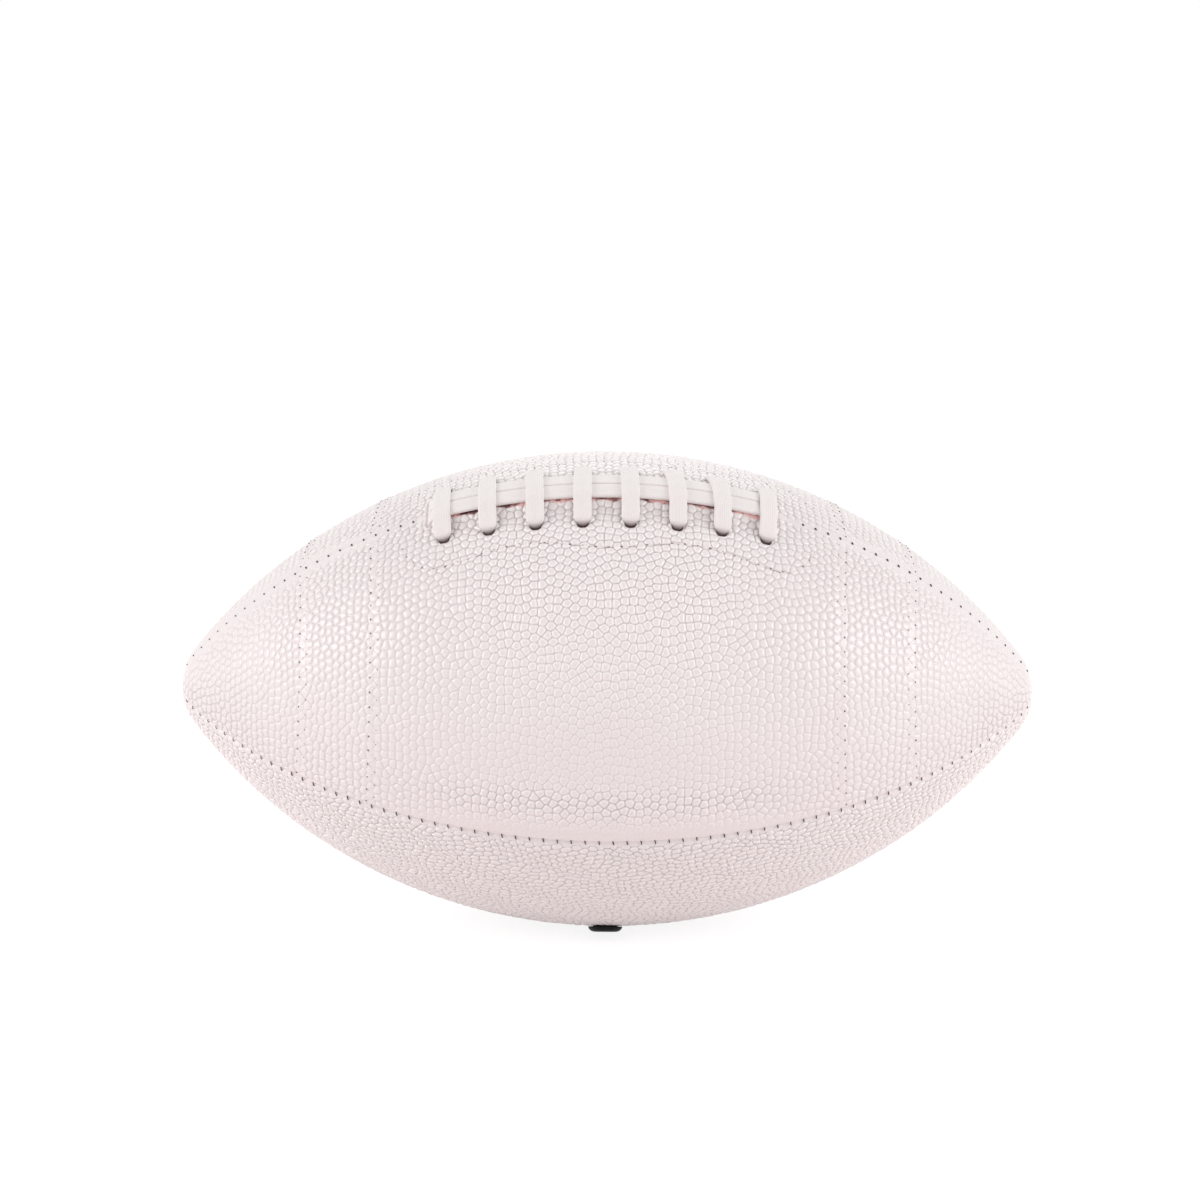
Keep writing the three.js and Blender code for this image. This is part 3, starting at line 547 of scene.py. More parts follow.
def rubber_material(name, dark, light, roughness, gloss):
    m = Nodes(name)
    mottle = m.noise(MOTTLE_NOISE, 6.0, 0.7)
    m.set({"Base Color": m.mix(mottle, dark, light), "Specular IOR Level": gloss})
    m.set({"Roughness": m.remap(mottle, roughness - 0.06, roughness + 0.08)})
    m.bump(m.noise(RUBBER_NOISE, 4.0), 0.25, RUBBER_BUMP)
    return m.owner


def cloth_material():
    m = Nodes("lining_cloth")
    wave = {"Scale": CLOTH_WAVES, "Distortion": 0.6, "Vector": m.coordinates()}
    both = [m.new("TexWave", bands_direction=way, **wave).outputs["Fac"] for way in "XZ"]
    weave = m.times(*both)
    m.set({"Base Color": m.mix(weave, CLOTH_SHADE, CLOTH_LIGHT), "Roughness": 0.95})
    m.bump(weave, 0.5, CLOTH_BUMP)
    return m.owner


LEATHER = leather_material("panel_leather", (0.82, 0.775, 0.773, 1))
STRIPE_LEATHER = leather_material("stripe_leather", (0.83, 0.787, 0.784, 1))
LACE = lace_material()
PALE_THREAD = thread_material("pale_thread", (0.8, 0.735, 0.73, 1), (0.88, 0.83, 0.825, 1), 0.6)
SEAM_THREAD = thread_material("seam_thread", (0.035, 0.017, 0.022, 1), (0.1, 0.05, 0.06, 1), 0.75)
# Dark beads of painted shade in the needle holes
NEEDLE_SHADE = thread_material("needle_shade", (0.17, 0.125, 0.13, 1), (0.32, 0.26, 0.265, 1), 0.9)
BLADDER_RUBBER = rubber_material(
    "bladder_rubber", (0.018, 0.018, 0.02, 1), (0.032, 0.032, 0.034, 1), roughness=0.6, gloss=0.4
)
VALVE_RUBBER = rubber_material(
    "valve_rubber", (0.006, 0.006, 0.007, 1), (0.012, 0.012, 0.013, 1), roughness=0.45, gloss=0.12
)
CLOTH = cloth_material()


# Grain


class Grain:
    """Seeds spread evenly over the ball, in rows around it, with one pebble round each."""

    ROW = PEBBLE_PITCH * 0.866
    SPARE_ROWS = 3
    FEWEST = 4
    SPREADS = 9
    PUSH = 0.9
    PUSH_REACH = 1.35 * PEBBLE_PITCH
    STRAY = 0.55 * PEBBLE_PITCH
    LEAST_RADIUS = 2.0

    def __init__(self, seed):
        rng = np.random.default_rng(seed)
        self.reach = round(PANEL_REACH / self.ROW) + self.SPARE_ROWS
        rows = np.arange(-self.reach, self.reach + 1) * self.ROW
        radius = outline(np.clip(rows, -PANEL_REACH, PANEL_REACH))[1]
        fitting = np.rint(math.tau * radius / PEBBLE_PITCH).astype(int)
        self.count = np.maximum(self.FEWEST, fitting)
        self.start = rng.random(len(rows))
        shape = (len(rows), self.count.max())
        jitter = rng.uniform(-PEBBLE_JITTER, PEBBLE_JITTER, shape)
        turn = np.arange(shape[1]) + self.start[:, None] + jitter
        self.turn = turn * math.tau / self.count[:, None]
        self.s = rows[:, None] + rng.uniform(-PEBBLE_JITTER, PEBBLE_JITTER, shape) * self.ROW
        self.lift = rng.uniform(-1, 1, shape).astype(np.float32)
        self.spread(radius)
        s = np.clip(self.s, -PANEL_REACH, PANEL_REACH)
        self.seeds = place(s, self.turn, 0.0).astype(np.float32)

    def around(self, home, turn, wide):
        """Row and column of each seed near some points, whose rows are given."""
        for row_step in range(-2, 3):
            row = np.clip(home + row_step, 0, len(self.count) - 1)
            middle = np.rint(turn * self.count[row] / math.tau - self.start[row]).astype(int)
            for step in range(-wide, wide + 1):
                yield row, (middle + step) % self.count[row]

    def spread(self, radius):
        """Seeds push each other apart until they lie about evenly."""
        home = np.broadcast_to(np.arange(len(radius))[:, None], self.s.shape)
        first_s, first_turn = self.s.copy(), self.turn.copy()
        radius = np.maximum(radius, self.LEAST_RADIUS)[:, None]
        stray = self.STRAY / radius
        for _ in range(self.SPREADS):
            push_s, push_turn = np.zeros_like(self.s), np.zeros_like(self.s)
            for row, column in self.around(home, first_turn, 3):
                along = self.s - self.s[row, column]
                apart = self.turn - self.turn[row, column]
                apart = np.remainder(apart + math.pi, math.tau) - math.pi
                distance = np.hypot(along, apart * radius)
                near = np.clip(1 - distance / self.PUSH_REACH, 0, 1) ** 2
                near /= np.maximum(distance, 1e-3)
                push_s += along * near
                push_turn += apart * near
            moved_s, moved_turn = self.s + self.PUSH * push_s, self.turn + self.PUSH * push_turn
            self.s = np.clip(moved_s, first_s - self.STRAY, first_s + self.STRAY)
            self.turn = np.clip(moved_turn, first_turn - stray, first_turn + stray)

    def edge(self, s, turn):
        """Distance to the nearest valley, and the lift of the pebble, at points on the surface."""
        here = place(s, turn, 0.0).astype(np.float32)
        home = np.rint(s / self.ROW).astype(int) + self.reach
        near_seeds = list(self.around(home, turn, 2))
        found = np.stack([self.seeds[row, column] for row, column in near_seeds])
        lifts = np.stack([self.lift[row, column] for row, column in near_seeds])
        near = ((found - here) ** 2).sum(-1)
        first = near.argmin(0)[None]
        own = np.take_along_axis(found, first[..., None], 0)
        apart = np.sqrt(((found - own) ** 2).sum(-1))
        rest = (near - np.take_along_axis(near, first, 0)) / (2 * np.maximum(apart, 1e-6))
        rest[apart < 1e-3] = np.inf
        soft = -CORNER_ROUND * np.log(np.exp(-rest / CORNER_ROUND).sum(0))
        return np.maximum(soft, 0), np.take_along_axis(lifts, first, 0)[0]


GRAIN = Grain(GRAIN_SEED)


# Lacing layout
HOLE_TURN = HOLE_SPREAD / 2 / RADIUS
LACE_LANE = (LACE_WIDTH + LACE_GAP) / 2
LACE_TURN = LACE_WIDTH / 2 + LACE_GAP
LAST_CROSS = (CROSSES - 1) / 2 * CROSS_PITCH
LACE_END = LAST_CROSS + LACE_OVERHANG
FACING_REACH = LACE_END + FACING_OVERHANG
STRAND_EDGE = LACE_LANE + LACE_WIDTH / 2


def facing_width(s):
    """Distance of a facing's wavy edge from the laced seam."""
    wave = FACING_WIDTH + FACING_WAVE * np.cos(math.tau * s / FACING_WAVELENGTH)
    past = np.clip((np.abs(s) - FACING_REACH + FACING_END_ROUND) / FACING_END_ROUND, 0, 1)
    return FACING_END_WIDTH + (wave - FACING_END_WIDTH) * np.sqrt(1 - past**2)


def from_hole(s, aside, radius, places):
    """Distance from the nearest lace hole's middle line, which runs along the ball."""
    places = np.array(places)
    nearest = places[np.abs(s[..., None] - places).argmin(-1)]
    along = np.maximum(np.abs(s - nearest) - HOLE_HALF_LENGTH, 0)
    return np.hypot(along, aside - HOLE_TURN * radius)


# Panels


class Panel:
    """Leather between two seams. lacing_side: -1 before the lacing, 1 behind it, 0 underneath."""

    def __init__(self, name, low, high, lacing_side, grain_turn):
        self.name, self.low, self.span, self.lacing_side = name, low, high - low, lacing_side
        self.holes = FRONT_HOLES if lacing_side < 0 else BACK_HOLES
        self.grain_turn = grain_turn
        self.squeeze, self.sway = (1, 0) if lacing_side else (BOTTOM_SQUEEZE, BOTTOM_SWAY)
        self.grid = (UPPER_GRID, UPPER_GRID) if lacing_side else (BOTTOM_GRID, BOTTOM_COLUMN)

    def bowed(self, s, share):
        """Places along the ball, drawn in between the seams as the stripes are."""
        if not self.lacing_side:
            return s
        reach = np.abs(s)
        to_tip = (PANEL_REACH - reach) / (PANEL_REACH - STRIPE_END)
        rise = np.minimum(np.minimum(1, reach / STRIPE_START), to_tip)
        return s - np.sign(s) * STRIPE_BOW * rise * (1 - (2 * share - 1) ** 2)

    def sewn(self, s, share):
        """1 under the zigzag stitches at a stripe's edges, 0 away from them."""
        reach = np.abs(s) + STRIPE_BOW * (1 - (2 * share - 1) ** 2)
        middles = STRIPE_START - ZIGZAG_WIDTH / 2, STRIPE_END - ZIGZAG_WIDTH / 2
        return smooth(*SEWN_FADE, np.minimum(*(np.abs(reach - middle) for middle in middles)))

    def aside(self, share, width):
        """Distance from the laced seam."""
        return (1 - share if self.lacing_side < 0 else share) * width

    def turn(self, share):
        return self.low + self.span * share

    def seam_roll(self, inset, width):
        """Height where the leather rolls into a seam, with a faint ridge beside it."""
        roll_width = np.minimum(SEAM_ROLL_WIDTH, width * SEAM_ROLL_SHARE)
        curl = 1 - np.clip(inset / roll_width, 0, 1)
        roll = SEAM_ROLL_DEPTH * roll_width / SEAM_ROLL_WIDTH * curl**SEAM_ROLL_CURVE
        ridge = SEAM_RIDGE_HEIGHT * bell(inset, SEAM_RIDGE_INSET, SEAM_RIDGE_WIDTH)
        return ridge * smooth(*SEAM_RIDGE_FADE, width) - roll

    def pebbles(self, s, turn, radius):
        """Distance from the nearest valley, and height of the pebbles at a relief of 1."""
        sway = self.sway * radius * np.sin(BOTTOM_SWAY_TURN * turn + BOTTOM_SWAY_ALONG * s)
        swayed = np.clip(s + sway, -PANEL_REACH, PANEL_REACH)
        edge, lift = GRAIN.edge(swayed, self.squeeze * turn + self.grain_turn)
        roundness = ROUNDNESS + END_ROUNDNESS * smooth(*END_FADE, np.abs(s))
        shoulder = 1 - np.exp(-((edge / PEBBLE_SHOULDER) ** PEBBLE_SHOULDER_CURVE))
        dome = (1 - roundness) * shoulder + roundness * smooth(*PEBBLE_DOME_FADE, edge)
        return edge, PEBBLE_HEIGHT * (dome * (1 + PEBBLE_LIFT * lift) - PEBBLE_SUNK)

    def upper_grain(self, s, share, up):
        """Plain strip along the seams, relief of the pebbles, and strength of their painted
        highlight and shade rings.
        """
        reach = np.abs(s)
        low_strip = LOW_PLAIN_EDGE * smooth(*LOW_PLAIN_REACH, reach)
        top_strip = TOP_PLAIN_EDGE * smooth(*TOP_PLAIN_REACH, reach)
        plain_edge = PLAIN_EDGE + np.where(up < 0.5, low_strip, top_strip)
        relief = LEAST_RELIEF + HIGH_RELIEF * smooth(*HIGH_UP_FADE, up)
        relief += LOW_CORNER_RELIEF * smooth(*LOW_CORNER_REACH, reach) * (1 - up) ** 2
        relief += LOW_TIP_RELIEF * smooth(*LOW_TIP_REACH, reach) * (1 - up)
        flank = smooth(*FLANK_INNER_FADE, reach) * smooth(*FLANK_OUTER_FADE, reach)
        relief += FLANK_RELIEF * smooth(*FLANK_UP_FADE, up) * flank
        # The low band's extra relief also strengthens the painted highlight and shade rings there.
        low_band = bell(up, LOW_BAND_UP, LOW_BAND_WIDTH) * smooth(*LOW_BAND_REACH, reach)
        relief += LOW_BAND_RELIEF * low_band
        to_end = smooth(*END_FADE, reach)
        to_tip = smooth(*TIP_LOSS_REACH, reach) * smooth(*TIP_LOSS_UP_FADE, up)
        relief *= (1 - END_RELIEF_LOSS * to_end) * (1 - TIP_RELIEF_LOSS * to_tip)
        relief *= 1 - SEWN_RELIEF_LOSS * self.sewn(s, share)
        return plain_edge, relief, 1 - END_RING_PAINT_LOSS * to_end

    def lacing_marks(self, s, aside, radius):
        """Rise of the leather by the lacing, share of grain left, painted shade round the holes,
        and slit.
        """
        groove = bell(aside, facing_width(s) - FACING_STITCH_INSET, FACING_GROOVE_WIDTH)
        groove *= np.abs(s) < FACING_REACH - FACING_GROOVE_STOP
        hole = from_hole(s, aside, radius, self.holes)
        past_edge = aside - (STRAND_EDGE + self.lacing_side * STRAND_SHIFT)
        past_end = np.maximum(s - STRAND_ENDS[1], STRAND_ENDS[0] - s)
        from_end = np.hypot(past_end, np.maximum(past_edge, 0))
        rise = RIDGE_RISE * smooth(*RIDGE_FADE, past_edge) * smooth(*RIDGE_END_FADE, past_end)
        rise -= FACING_GROOVE_DEPTH * groove
        rise -= HOLE_DEPTH * smooth(*HOLE_RIM_FADE, hole)
        rise -= END_DIP * smooth(*END_DIP_FADE, from_end)
        pressed = smooth(*PRESSED_FADE, past_edge) * smooth(*PRESSED_END_FADE, past_end)
        left = smooth(*HOLE_GRAIN_FADE, hole) * (1 - PRESSED_LOSS * pressed)
        # The slit strip beside the strand's edge: raw red leather edge, with painted shadow in
        # stretches.
        waves = [size * np.sin(s * pace + start) for size, pace, start in SLIT_WAVES]
        past_slit = past_edge - (SLIT_EDGE + sum(waves))
        slit = smooth(*SLIT_FADE, past_slit) * smooth(*SLIT_END_FADE, past_end)
        # Painted shade round each lace hole's opening.
        return rise, left, smooth(*PAINTED_HOLE_SHADE_FADE, hole), slit

    def surface(self, s, share):
        """Height of the leather, distance from a valley, grain, strength of the painted highlight
        and shade rings, painted shade round holes, and slit.
        """
        turn, radius = self.turn(share), outline(s)[1]
        width = self.span * radius
        inset = np.minimum(share, 1 - share) * width
        height = self.seam_roll(inset, width)
        edge, grain = self.pebbles(s, turn, radius)
        plain_edge, relief, ring = BOTTOM_PLAIN_EDGE, BOTTOM_RELIEF, BOTTOM_RING_PAINT
        if self.lacing_side:
            up = share if self.lacing_side < 0 else 1 - share
            plain_edge, relief, ring = self.upper_grain(s, share, up)
            height *= np.where(up > 0.5, LACED_SEAM_SHARE, 1)
        height -= TIP_DIMPLE_DEPTH * smooth(TIP_DIMPLE_RADIUS, 0, radius)
        past_strip = smooth(PLAIN_START * plain_edge - PLAIN_START_SHIFT, plain_edge, inset)
        keep = (PLAIN_GRAIN + (1 - PLAIN_GRAIN) * past_strip) * relief
        soil, slit = np.zeros_like(height), np.zeros_like(height)
        if self.lacing_side:
            rise, left, soil, slit = self.lacing_marks(s, self.aside(share, width), radius)
            height += rise
            keep = keep * left
        # The painted highlight and shade rings follow the relief.
        return height + grain * keep, edge, keep, ring * keep, soil, slit

    def make(self, part, s_from, s_to, widest, material, slot, *nodes):
        """A piece of the panel, with its edges turned in and columns for its width at one place."""
        row_step, column_step = self.grid
        rows = max(2, round(abs(s_to - s_from) / row_step)) + 1
        columns = round(self.span * float(outline(widest)[1]) / column_step)
        step = (s_to - s_from) / (rows - 1)
        share = np.concatenate([[0.0], np.linspace(0, 1, columns + 1), [1.0]])
        # One row more at each end, so that the normals of two pieces agree where they meet
        line = np.clip(s_from + step * np.arange(-1, rows + 1), -PANEL_REACH, PANEL_REACH)
        s, share = np.meshgrid(line, share, indexing="ij")
        s = self.bowed(s, share)
        height, *colours = self.surface(s.ravel(), share.ravel())
        height = height.reshape(s.shape)
        height[:, [0, -1]] = -FLANGE_DEPTH
        points = place(s, self.turn(share), height)
        face = points[:, 1:-1]
        normals = np.cross(np.gradient(face, axis=0), np.gradient(face, axis=1))
        normals /= np.maximum(np.linalg.norm(normals, axis=-1), 1e-9)[..., None]
        normals = np.concatenate([normals[:, :1], normals, normals[:, -1:]], 1)
        inner = slice(1, -1)
        s, share, points = s[inner], share[inner], points[inner]
        normals = normals[inner].reshape(-1, 3)
        faces = grid_faces(*s.shape)
        if self.lacing_side:
            radius = outline(s)[1]
            aside = self.aside(share, self.span * radius)
            open_hole = (from_hole(s, aside, radius, self.holes) < HOLE_OPEN).ravel()
            faces = faces[~open_hole[faces].all(1)]
        colours = [c.reshape(len(line), -1)[inner].ravel() for c in colours]
        attributes = dict(zip(("edge", "keep", "ring", "soil", "slit"), colours))
        name = f"leather_{self.name}_{part}"
        obj = piece(name, points.reshape(-1, 3), faces, [material], attributes, normals=normals)
        return dress(obj, slot, *nodes)


four_panels = (
    Panel("front", FRONT_SEAM, LACING, -1, 0.0),
    Panel("back", LACING, BACK_SEAM, 1, 0.9),
    Panel("bottom_back", BACK_SEAM, BOTTOM_SEAM, 0, 2.1),
    Panel("bottom_front", BOTTOM_SEAM - math.tau, FRONT_SEAM, 0, 3.4),
)
PANELS = {panel.name: panel for panel in four_panels}


SIDES = (("left", -1), ("right", 1))

for name, panel in PANELS.items():
    striped = panel.lacing_side != 0
    leather = (LEATHER, "panel_leather", f"panel_{name}")
    centre, end_width = (STRIPE_START, STRIPE_END) if striped else (STRIPE_END, 0)
    panel.make("centre_left", -centre, 0, 0, *leather)
    panel.make("centre_right", 0, centre, 0, *leather)
    for side_name, side in SIDES:
        end = sorted([side * STRIPE_END, side * PANEL_REACH])
        panel.make(f"{side_name}_end", *end, end_width, *leather)
        if striped:
            band = sorted([side * STRIPE_START, side * STRIPE_END])
            stripe = (STRIPE_LEATHER, "stripe_leather", f"stripe_{name}_{side_name}")
            panel.make(f"{side_name}_stripe", *band, STRIPE_START, *stripe)


# Stitching


def bead(s, turn, height, along, across, thick, slant=0.0):
    """A small lens-shaped hole or stitch, its sizes along the ball, around it and outwards."""
    round_angles = math.tau * np.arange(BEAD_SIDES) / BEAD_SIDES
    u, v = np.meshgrid(np.linspace(0, math.pi, BEAD_RINGS), round_angles, indexing="ij")
    radius = float(outline(s)[1])
    a, b = along * np.sin(u) * np.cos(v), across * np.sin(u) * np.sin(v)
    a, b = a * math.cos(slant) - b * math.sin(slant), a * math.sin(slant) + b * math.cos(slant)
    points = place(s + a, turn + b / radius, height + thick * np.cos(u))
    return points.reshape(-1, 3), tube_faces(BEAD_RINGS, BEAD_SIDES)


def seam_stitches(name, turn, s_from, s_to, stitch):
    """Short dark stitches across the valley of a seam."""
    length, thickness, depth = stitch
    across = np.linspace(-0.5, 0.5, THREAD_STEPS)
    rise = SEAM_STITCH_ARCH * np.cos(math.pi * across) - depth
    bundle = Bundle()
    for s in np.arange(s_from + SEAM_PITCH / 2, s_to, SEAM_PITCH):
        radius = float(outline(s)[1])
        in_middle = float(smooth(*SEAM_STITCH_FADE, abs(s)))
        fineness = SEAM_STITCH_LEAST + (1 - SEAM_STITCH_LEAST) * in_middle
        turns = turn + across * (length * fineness) / radius
        line = place(s - SEAM_STITCH_SLANT * across, turns, rise)
        bundle.add(*tube(line, thickness / 2 * fineness))
    dress(bundle.make(f"seam_stitches_{name}", [SEAM_THREAD]), "seam_thread", f"seam_thread_{name}")


SEAM_END = PANEL_REACH - SEAM_END_GAP
SEAM_OPENS = LACE_END + SEAM_LACING_GAP
for name, turn in (("front", FRONT_SEAM), ("back", BACK_SEAM), ("bottom", BOTTOM_SEAM)):
    seam_stitches(name, turn, -SEAM_END, SEAM_END, SEAM_STITCH)
seam_stitches("top_left", LACING, -SEAM_END, -SEAM_OPENS, TOP_SEAM_STITCH)
seam_stitches("top_right", LACING, SEAM_OPENS, SEAM_END, TOP_SEAM_STITCH)


def zigzag(panel, side, edge):
    """A zigzag stitch along a stripe's edge: pale thread from needle hole to needle hole."""
    width = panel.span * float(outline(edge)[1])
    steps = int(2 * (width - 2 * ZIGZAG_MARGIN) / ZIGZAG_PITCH)
    shares = (ZIGZAG_MARGIN + ZIGZAG_PITCH / 2 * np.arange(steps + 1)) / width
    places = side * (edge - np.arange(steps + 1) % 2 * ZIGZAG_WIDTH)
    places = panel.bowed(places, shares)
    bundle = Bundle()
    rng = np.random.default_rng(int(edge))
    for k in range(steps + 1):
        # Each needle hole is a dark bead of painted shade.
        size = NEEDLE_HOLE * NEEDLE_ROWS[k % 2] * rng.uniform(*NEEDLE_SPREAD)
        hole = bead(places[k], panel.turn(shares[k]), NEEDLE_HEIGHT, size, size, NEEDLE_THICKNESS)
        bundle.add(*hole, slot=1)
    t = np.linspace(0, 1, THREAD_STEPS)
    rise = ZIGZAG_ARCH * np.sin(math.pi * t) - ZIGZAG_DEPTH
    for k in range(steps):
        s = places[k] + (places[k + 1] - places[k]) * t
        turn = panel.turn(shares[k] + (shares[k + 1] - shares[k]) * t)
        bundle.add(*tube(place(s, turn, rise), ZIGZAG_THREAD / 2, FINE_THREAD_SIDES))
    return bundle


for name in ("front", "back"):
    for side_name, side in SIDES:
        for edge_name, edge in (("inner", STRIPE_START), ("outer", STRIPE_END)):
            bundle = zigzag(PANELS[name], side, edge)
            obj = bundle.make(f"zigzag_{name}_{side_name}_{edge_name}", [PALE_THREAD, NEEDLE_SHADE])
            dress(obj, "pale_thread", f"stripe_thread_{name}_{side_name}_{edge_name}")


def facing_stitches(name, side):
    """Lockstitches in the groove around a lace facing, with a dark bead of painted shade for the
    needle hole at each end.
    """
    reach = FACING_REACH - FACING_STITCH_INSET
    fine = np.linspace(-reach, reach, FACING_POINTS)
    aside = facing_width(fine) - FACING_STITCH_INSET
    line = place(fine, LACING + side * aside / outline(fine)[1], 0.0)
    run = distance_run(line)
    stops = np.linspace(0, run[-1], round(run[-1] / FACING_PITCH) + 1)
    bundle = Bundle()
    rng = np.random.default_rng(FACING_SEED + side)
    t = np.linspace(0, 1, THREAD_STEPS)
    rise = FACING_STITCH_ARCH * np.sin(math.pi * t) - FACING_STITCH_DEPTH
    for begin, end in zip(stops[:-1], stops[1:]):
        s = np.interp(begin + (end - begin) * t, run, fine)
        turn = LACING + side * (facing_width(s) - FACING_STITCH_INSET) / outline(s)[1]
        bundle.add(*tube(place(s, turn, rise), FACING_THREAD / 2, FINE_THREAD_SIDES))
        slant = math.atan2((turn[1] - turn[0]) * float(outline(s[0])[1]), s[1] - s[0])
        size = rng.uniform(*FACING_NEEDLE_SPREAD) * (1.0 if side < 0 else BACK_NEEDLE_SHARE)
        along, across, thick = FACING_NEEDLE
        hole = bead(s[0], turn[0], -FACING_NEEDLE_DEPTH, along * size, across * size, thick, slant)
        bundle.add(*hole, slot=1)
    obj = bundle.make(f"facing_stitches_{name}", [PALE_THREAD, NEEDLE_SHADE])
    dress(obj, "pale_thread", f"facing_thread_{name}")


facing_stitches("front", -1)
facing_stitches("back", 1)


# Lace: one flat tape through all the holes


STRAND_CLEARANCE, CROSS_CLEARANCE, SHOULDER_CLEARANCE, HOLE_CLEARANCE = 0.25, 0.1, 0.3, 0.45
STRAND_HEIGHT = RIDGE_RISE + STRAND_CLEARANCE + LACE_THICKNESS / 2
CROSS_CROWN = STRAND_HEIGHT + LACE_THICKNESS + CROSS_CLEARANCE
CROSS_SHOULDER = STRAND_EDGE + SHOULDER_CLEARANCE
SHOULDER_DROP = 0.35
SHOULDER_BEND, CROWN_BEND = 4.0, 9.0
HOLE_HEIGHT = LACE_THICKNESS / 2 + HOLE_CLEARANCE
ACROSS_LACING = np.array([0.0, math.sin(LACING), math.cos(LACING)])


def lace_route():
    """Corners of the lace's middle line: (point, bend radius, way its width lies in a hole)."""
    route = []

    def go(s, sideways, height, bend=0.0):
        _, radius, lean = outline(s)
        turn = LACING + sideways / (radius + height * np.cos(lean))
        route.append((place(s, turn, height), bend, ACROSS_LACING))

    def go_hole(s, side, height, bend=0.0):
        lean = float(outline(s)[2])
        spoke = np.array([0.0, -math.cos(LACING), math.sin(LACING)])
        along = np.array([math.cos(lean), 0.0, 0.0]) - spoke * math.sin(lean)
        route.append((place(s, LACING + side * HOLE_TURN, height), bend, along))

    def strand(sideways):
        lifted = sideways + STRAND_SHIFT
        left, right = STRAND_ENDS
        go(right, lifted, -LACE_INSIDE, LACE_FOLD)
        go(right, lifted, STRAND_HEIGHT - RIDGE_RISE, LACE_FOLD)
        for s in np.linspace(right, left, STRAND_POINTS)[2:-2]:
            dip = smooth(*STRAND_DIP_FADE, max(s - right, left - s))
            go(s, lifted, STRAND_HEIGHT - RIDGE_RISE * dip)
        go(left, lifted, STRAND_HEIGHT - RIDGE_RISE, LACE_FOLD)
        go(left, lifted, -LACE_INSIDE, LACE_FOLD)

    def cross(front, back):
        def over(sideways, height, bend):
            share = sideways / HOLE_SPREAD + 0.5
            go(front + (back - front) * share**2, sideways, height, bend)

        go_hole(back, 1, -LACE_INSIDE, LACE_FOLD)
        go_hole(back, 1, HOLE_HEIGHT, LACE_FOLD)
        over(STRAND_SHIFT + CROSS_SHOULDER, CROSS_CROWN - SHOULDER_DROP, SHOULDER_BEND)
        over(STRAND_SHIFT, CROSS_CROWN, CROWN_BEND)
        over(STRAND_SHIFT - CROSS_SHOULDER, CROSS_CROWN - SHOULDER_DROP, SHOULDER_BEND)
        go_hole(front, -1, HOLE_HEIGHT, LACE_FOLD)
        go_hole(front, -1, -LACE_INSIDE, LACE_FOLD)

    go(STRAND_ENDS[1] + LACE_TAIL, LACE_LANE, -LACE_INSIDE)
    strand(LACE_LANE)
    go(BACK_HOLES[0], LACE_LANE, -LACE_INSIDE, LACE_TURN)
    for k in range(CROSSES):
        cross(FRONT_HOLES[k], BACK_HOLES[k])
        # Inside the ball the lace slants on to the next cross
        for share in (0.25, 0.5, 0.75) if k + 1 < CROSSES else ():
            s = FRONT_HOLES[k] + (BACK_HOLES[k + 1] - FRONT_HOLES[k]) * share
            go_hole(s, 2 * share - 1, -LACE_INSIDE)
    go(FRONT_HOLES[-1], -LACE_LANE, -LACE_INSIDE, LACE_TURN)
    strand(-LACE_LANE)
    go(STRAND_ENDS[0] - LACE_TAIL, -LACE_LANE, -LACE_INSIDE)
    return route


def rounded(route):
    """The route's corners turned into arcs."""
    points, ways = [], []
    for i, (point, bend, way) in enumerate(route):
        if not bend:
            points.append(point)
            ways.append(way)
            continue
        into, away = unit(point - route[i - 1][0]), unit(route[i + 1][0] - point)
        angle = math.acos(np.clip(into @ away, -1, 1))
        axis = Vector(np.cross(into, away)).normalized()
        centre = point + unit(away - into) * bend / math.cos(angle / 2)
        spoke = Vector(point - into * bend * math.tan(angle / 2) - centre)
        steps = max(2, math.ceil(angle / LACE_BEND_STEP))
        for k in range(steps + 1):
            points.append(centre + np.array(Matrix.Rotation(angle * k / steps, 3, axis) @ spoke))
            ways.append(way)
    return np.array(points), np.array(ways)


def even_steps(points, ways, step):
    """A line at even steps, the ways along it, and the distance run."""
    run = distance_run(points)
    keep = np.concatenate([[True], np.diff(run) > 1e-6])
    points, ways, run = points[keep], ways[keep], run[keep]
    even = np.linspace(0, run[-1], round(run[-1] / step) + 1)

    def pick(values):
        return np.stack([np.interp(even, run, values[:, c]) for c in range(3)], -1)

    return pick(points), pick(ways), even


def lace_section():
    """The tape's section, as (across, above): soft edges and slightly ribbed faces."""
    half, thick, edge = LACE_WIDTH / 2, LACE_THICKNESS / 2, LACE_EDGE_ROUND
    face = np.linspace(half - edge, edge - half, LACE_FACE_POINTS)
    ribs = thick + LACE_RIB_HEIGHT * np.cos(math.tau * face / LACE_RIB_PITCH)
    bend = np.radians(np.linspace(90, -90, LACE_EDGE_POINTS)[1:-1])
    left = np.stack([edge - half - edge * np.cos(bend), thick * np.sin(bend)], -1)
    upper = np.concatenate([np.stack([face, ribs], -1), left])
    return np.concatenate([upper, -upper])


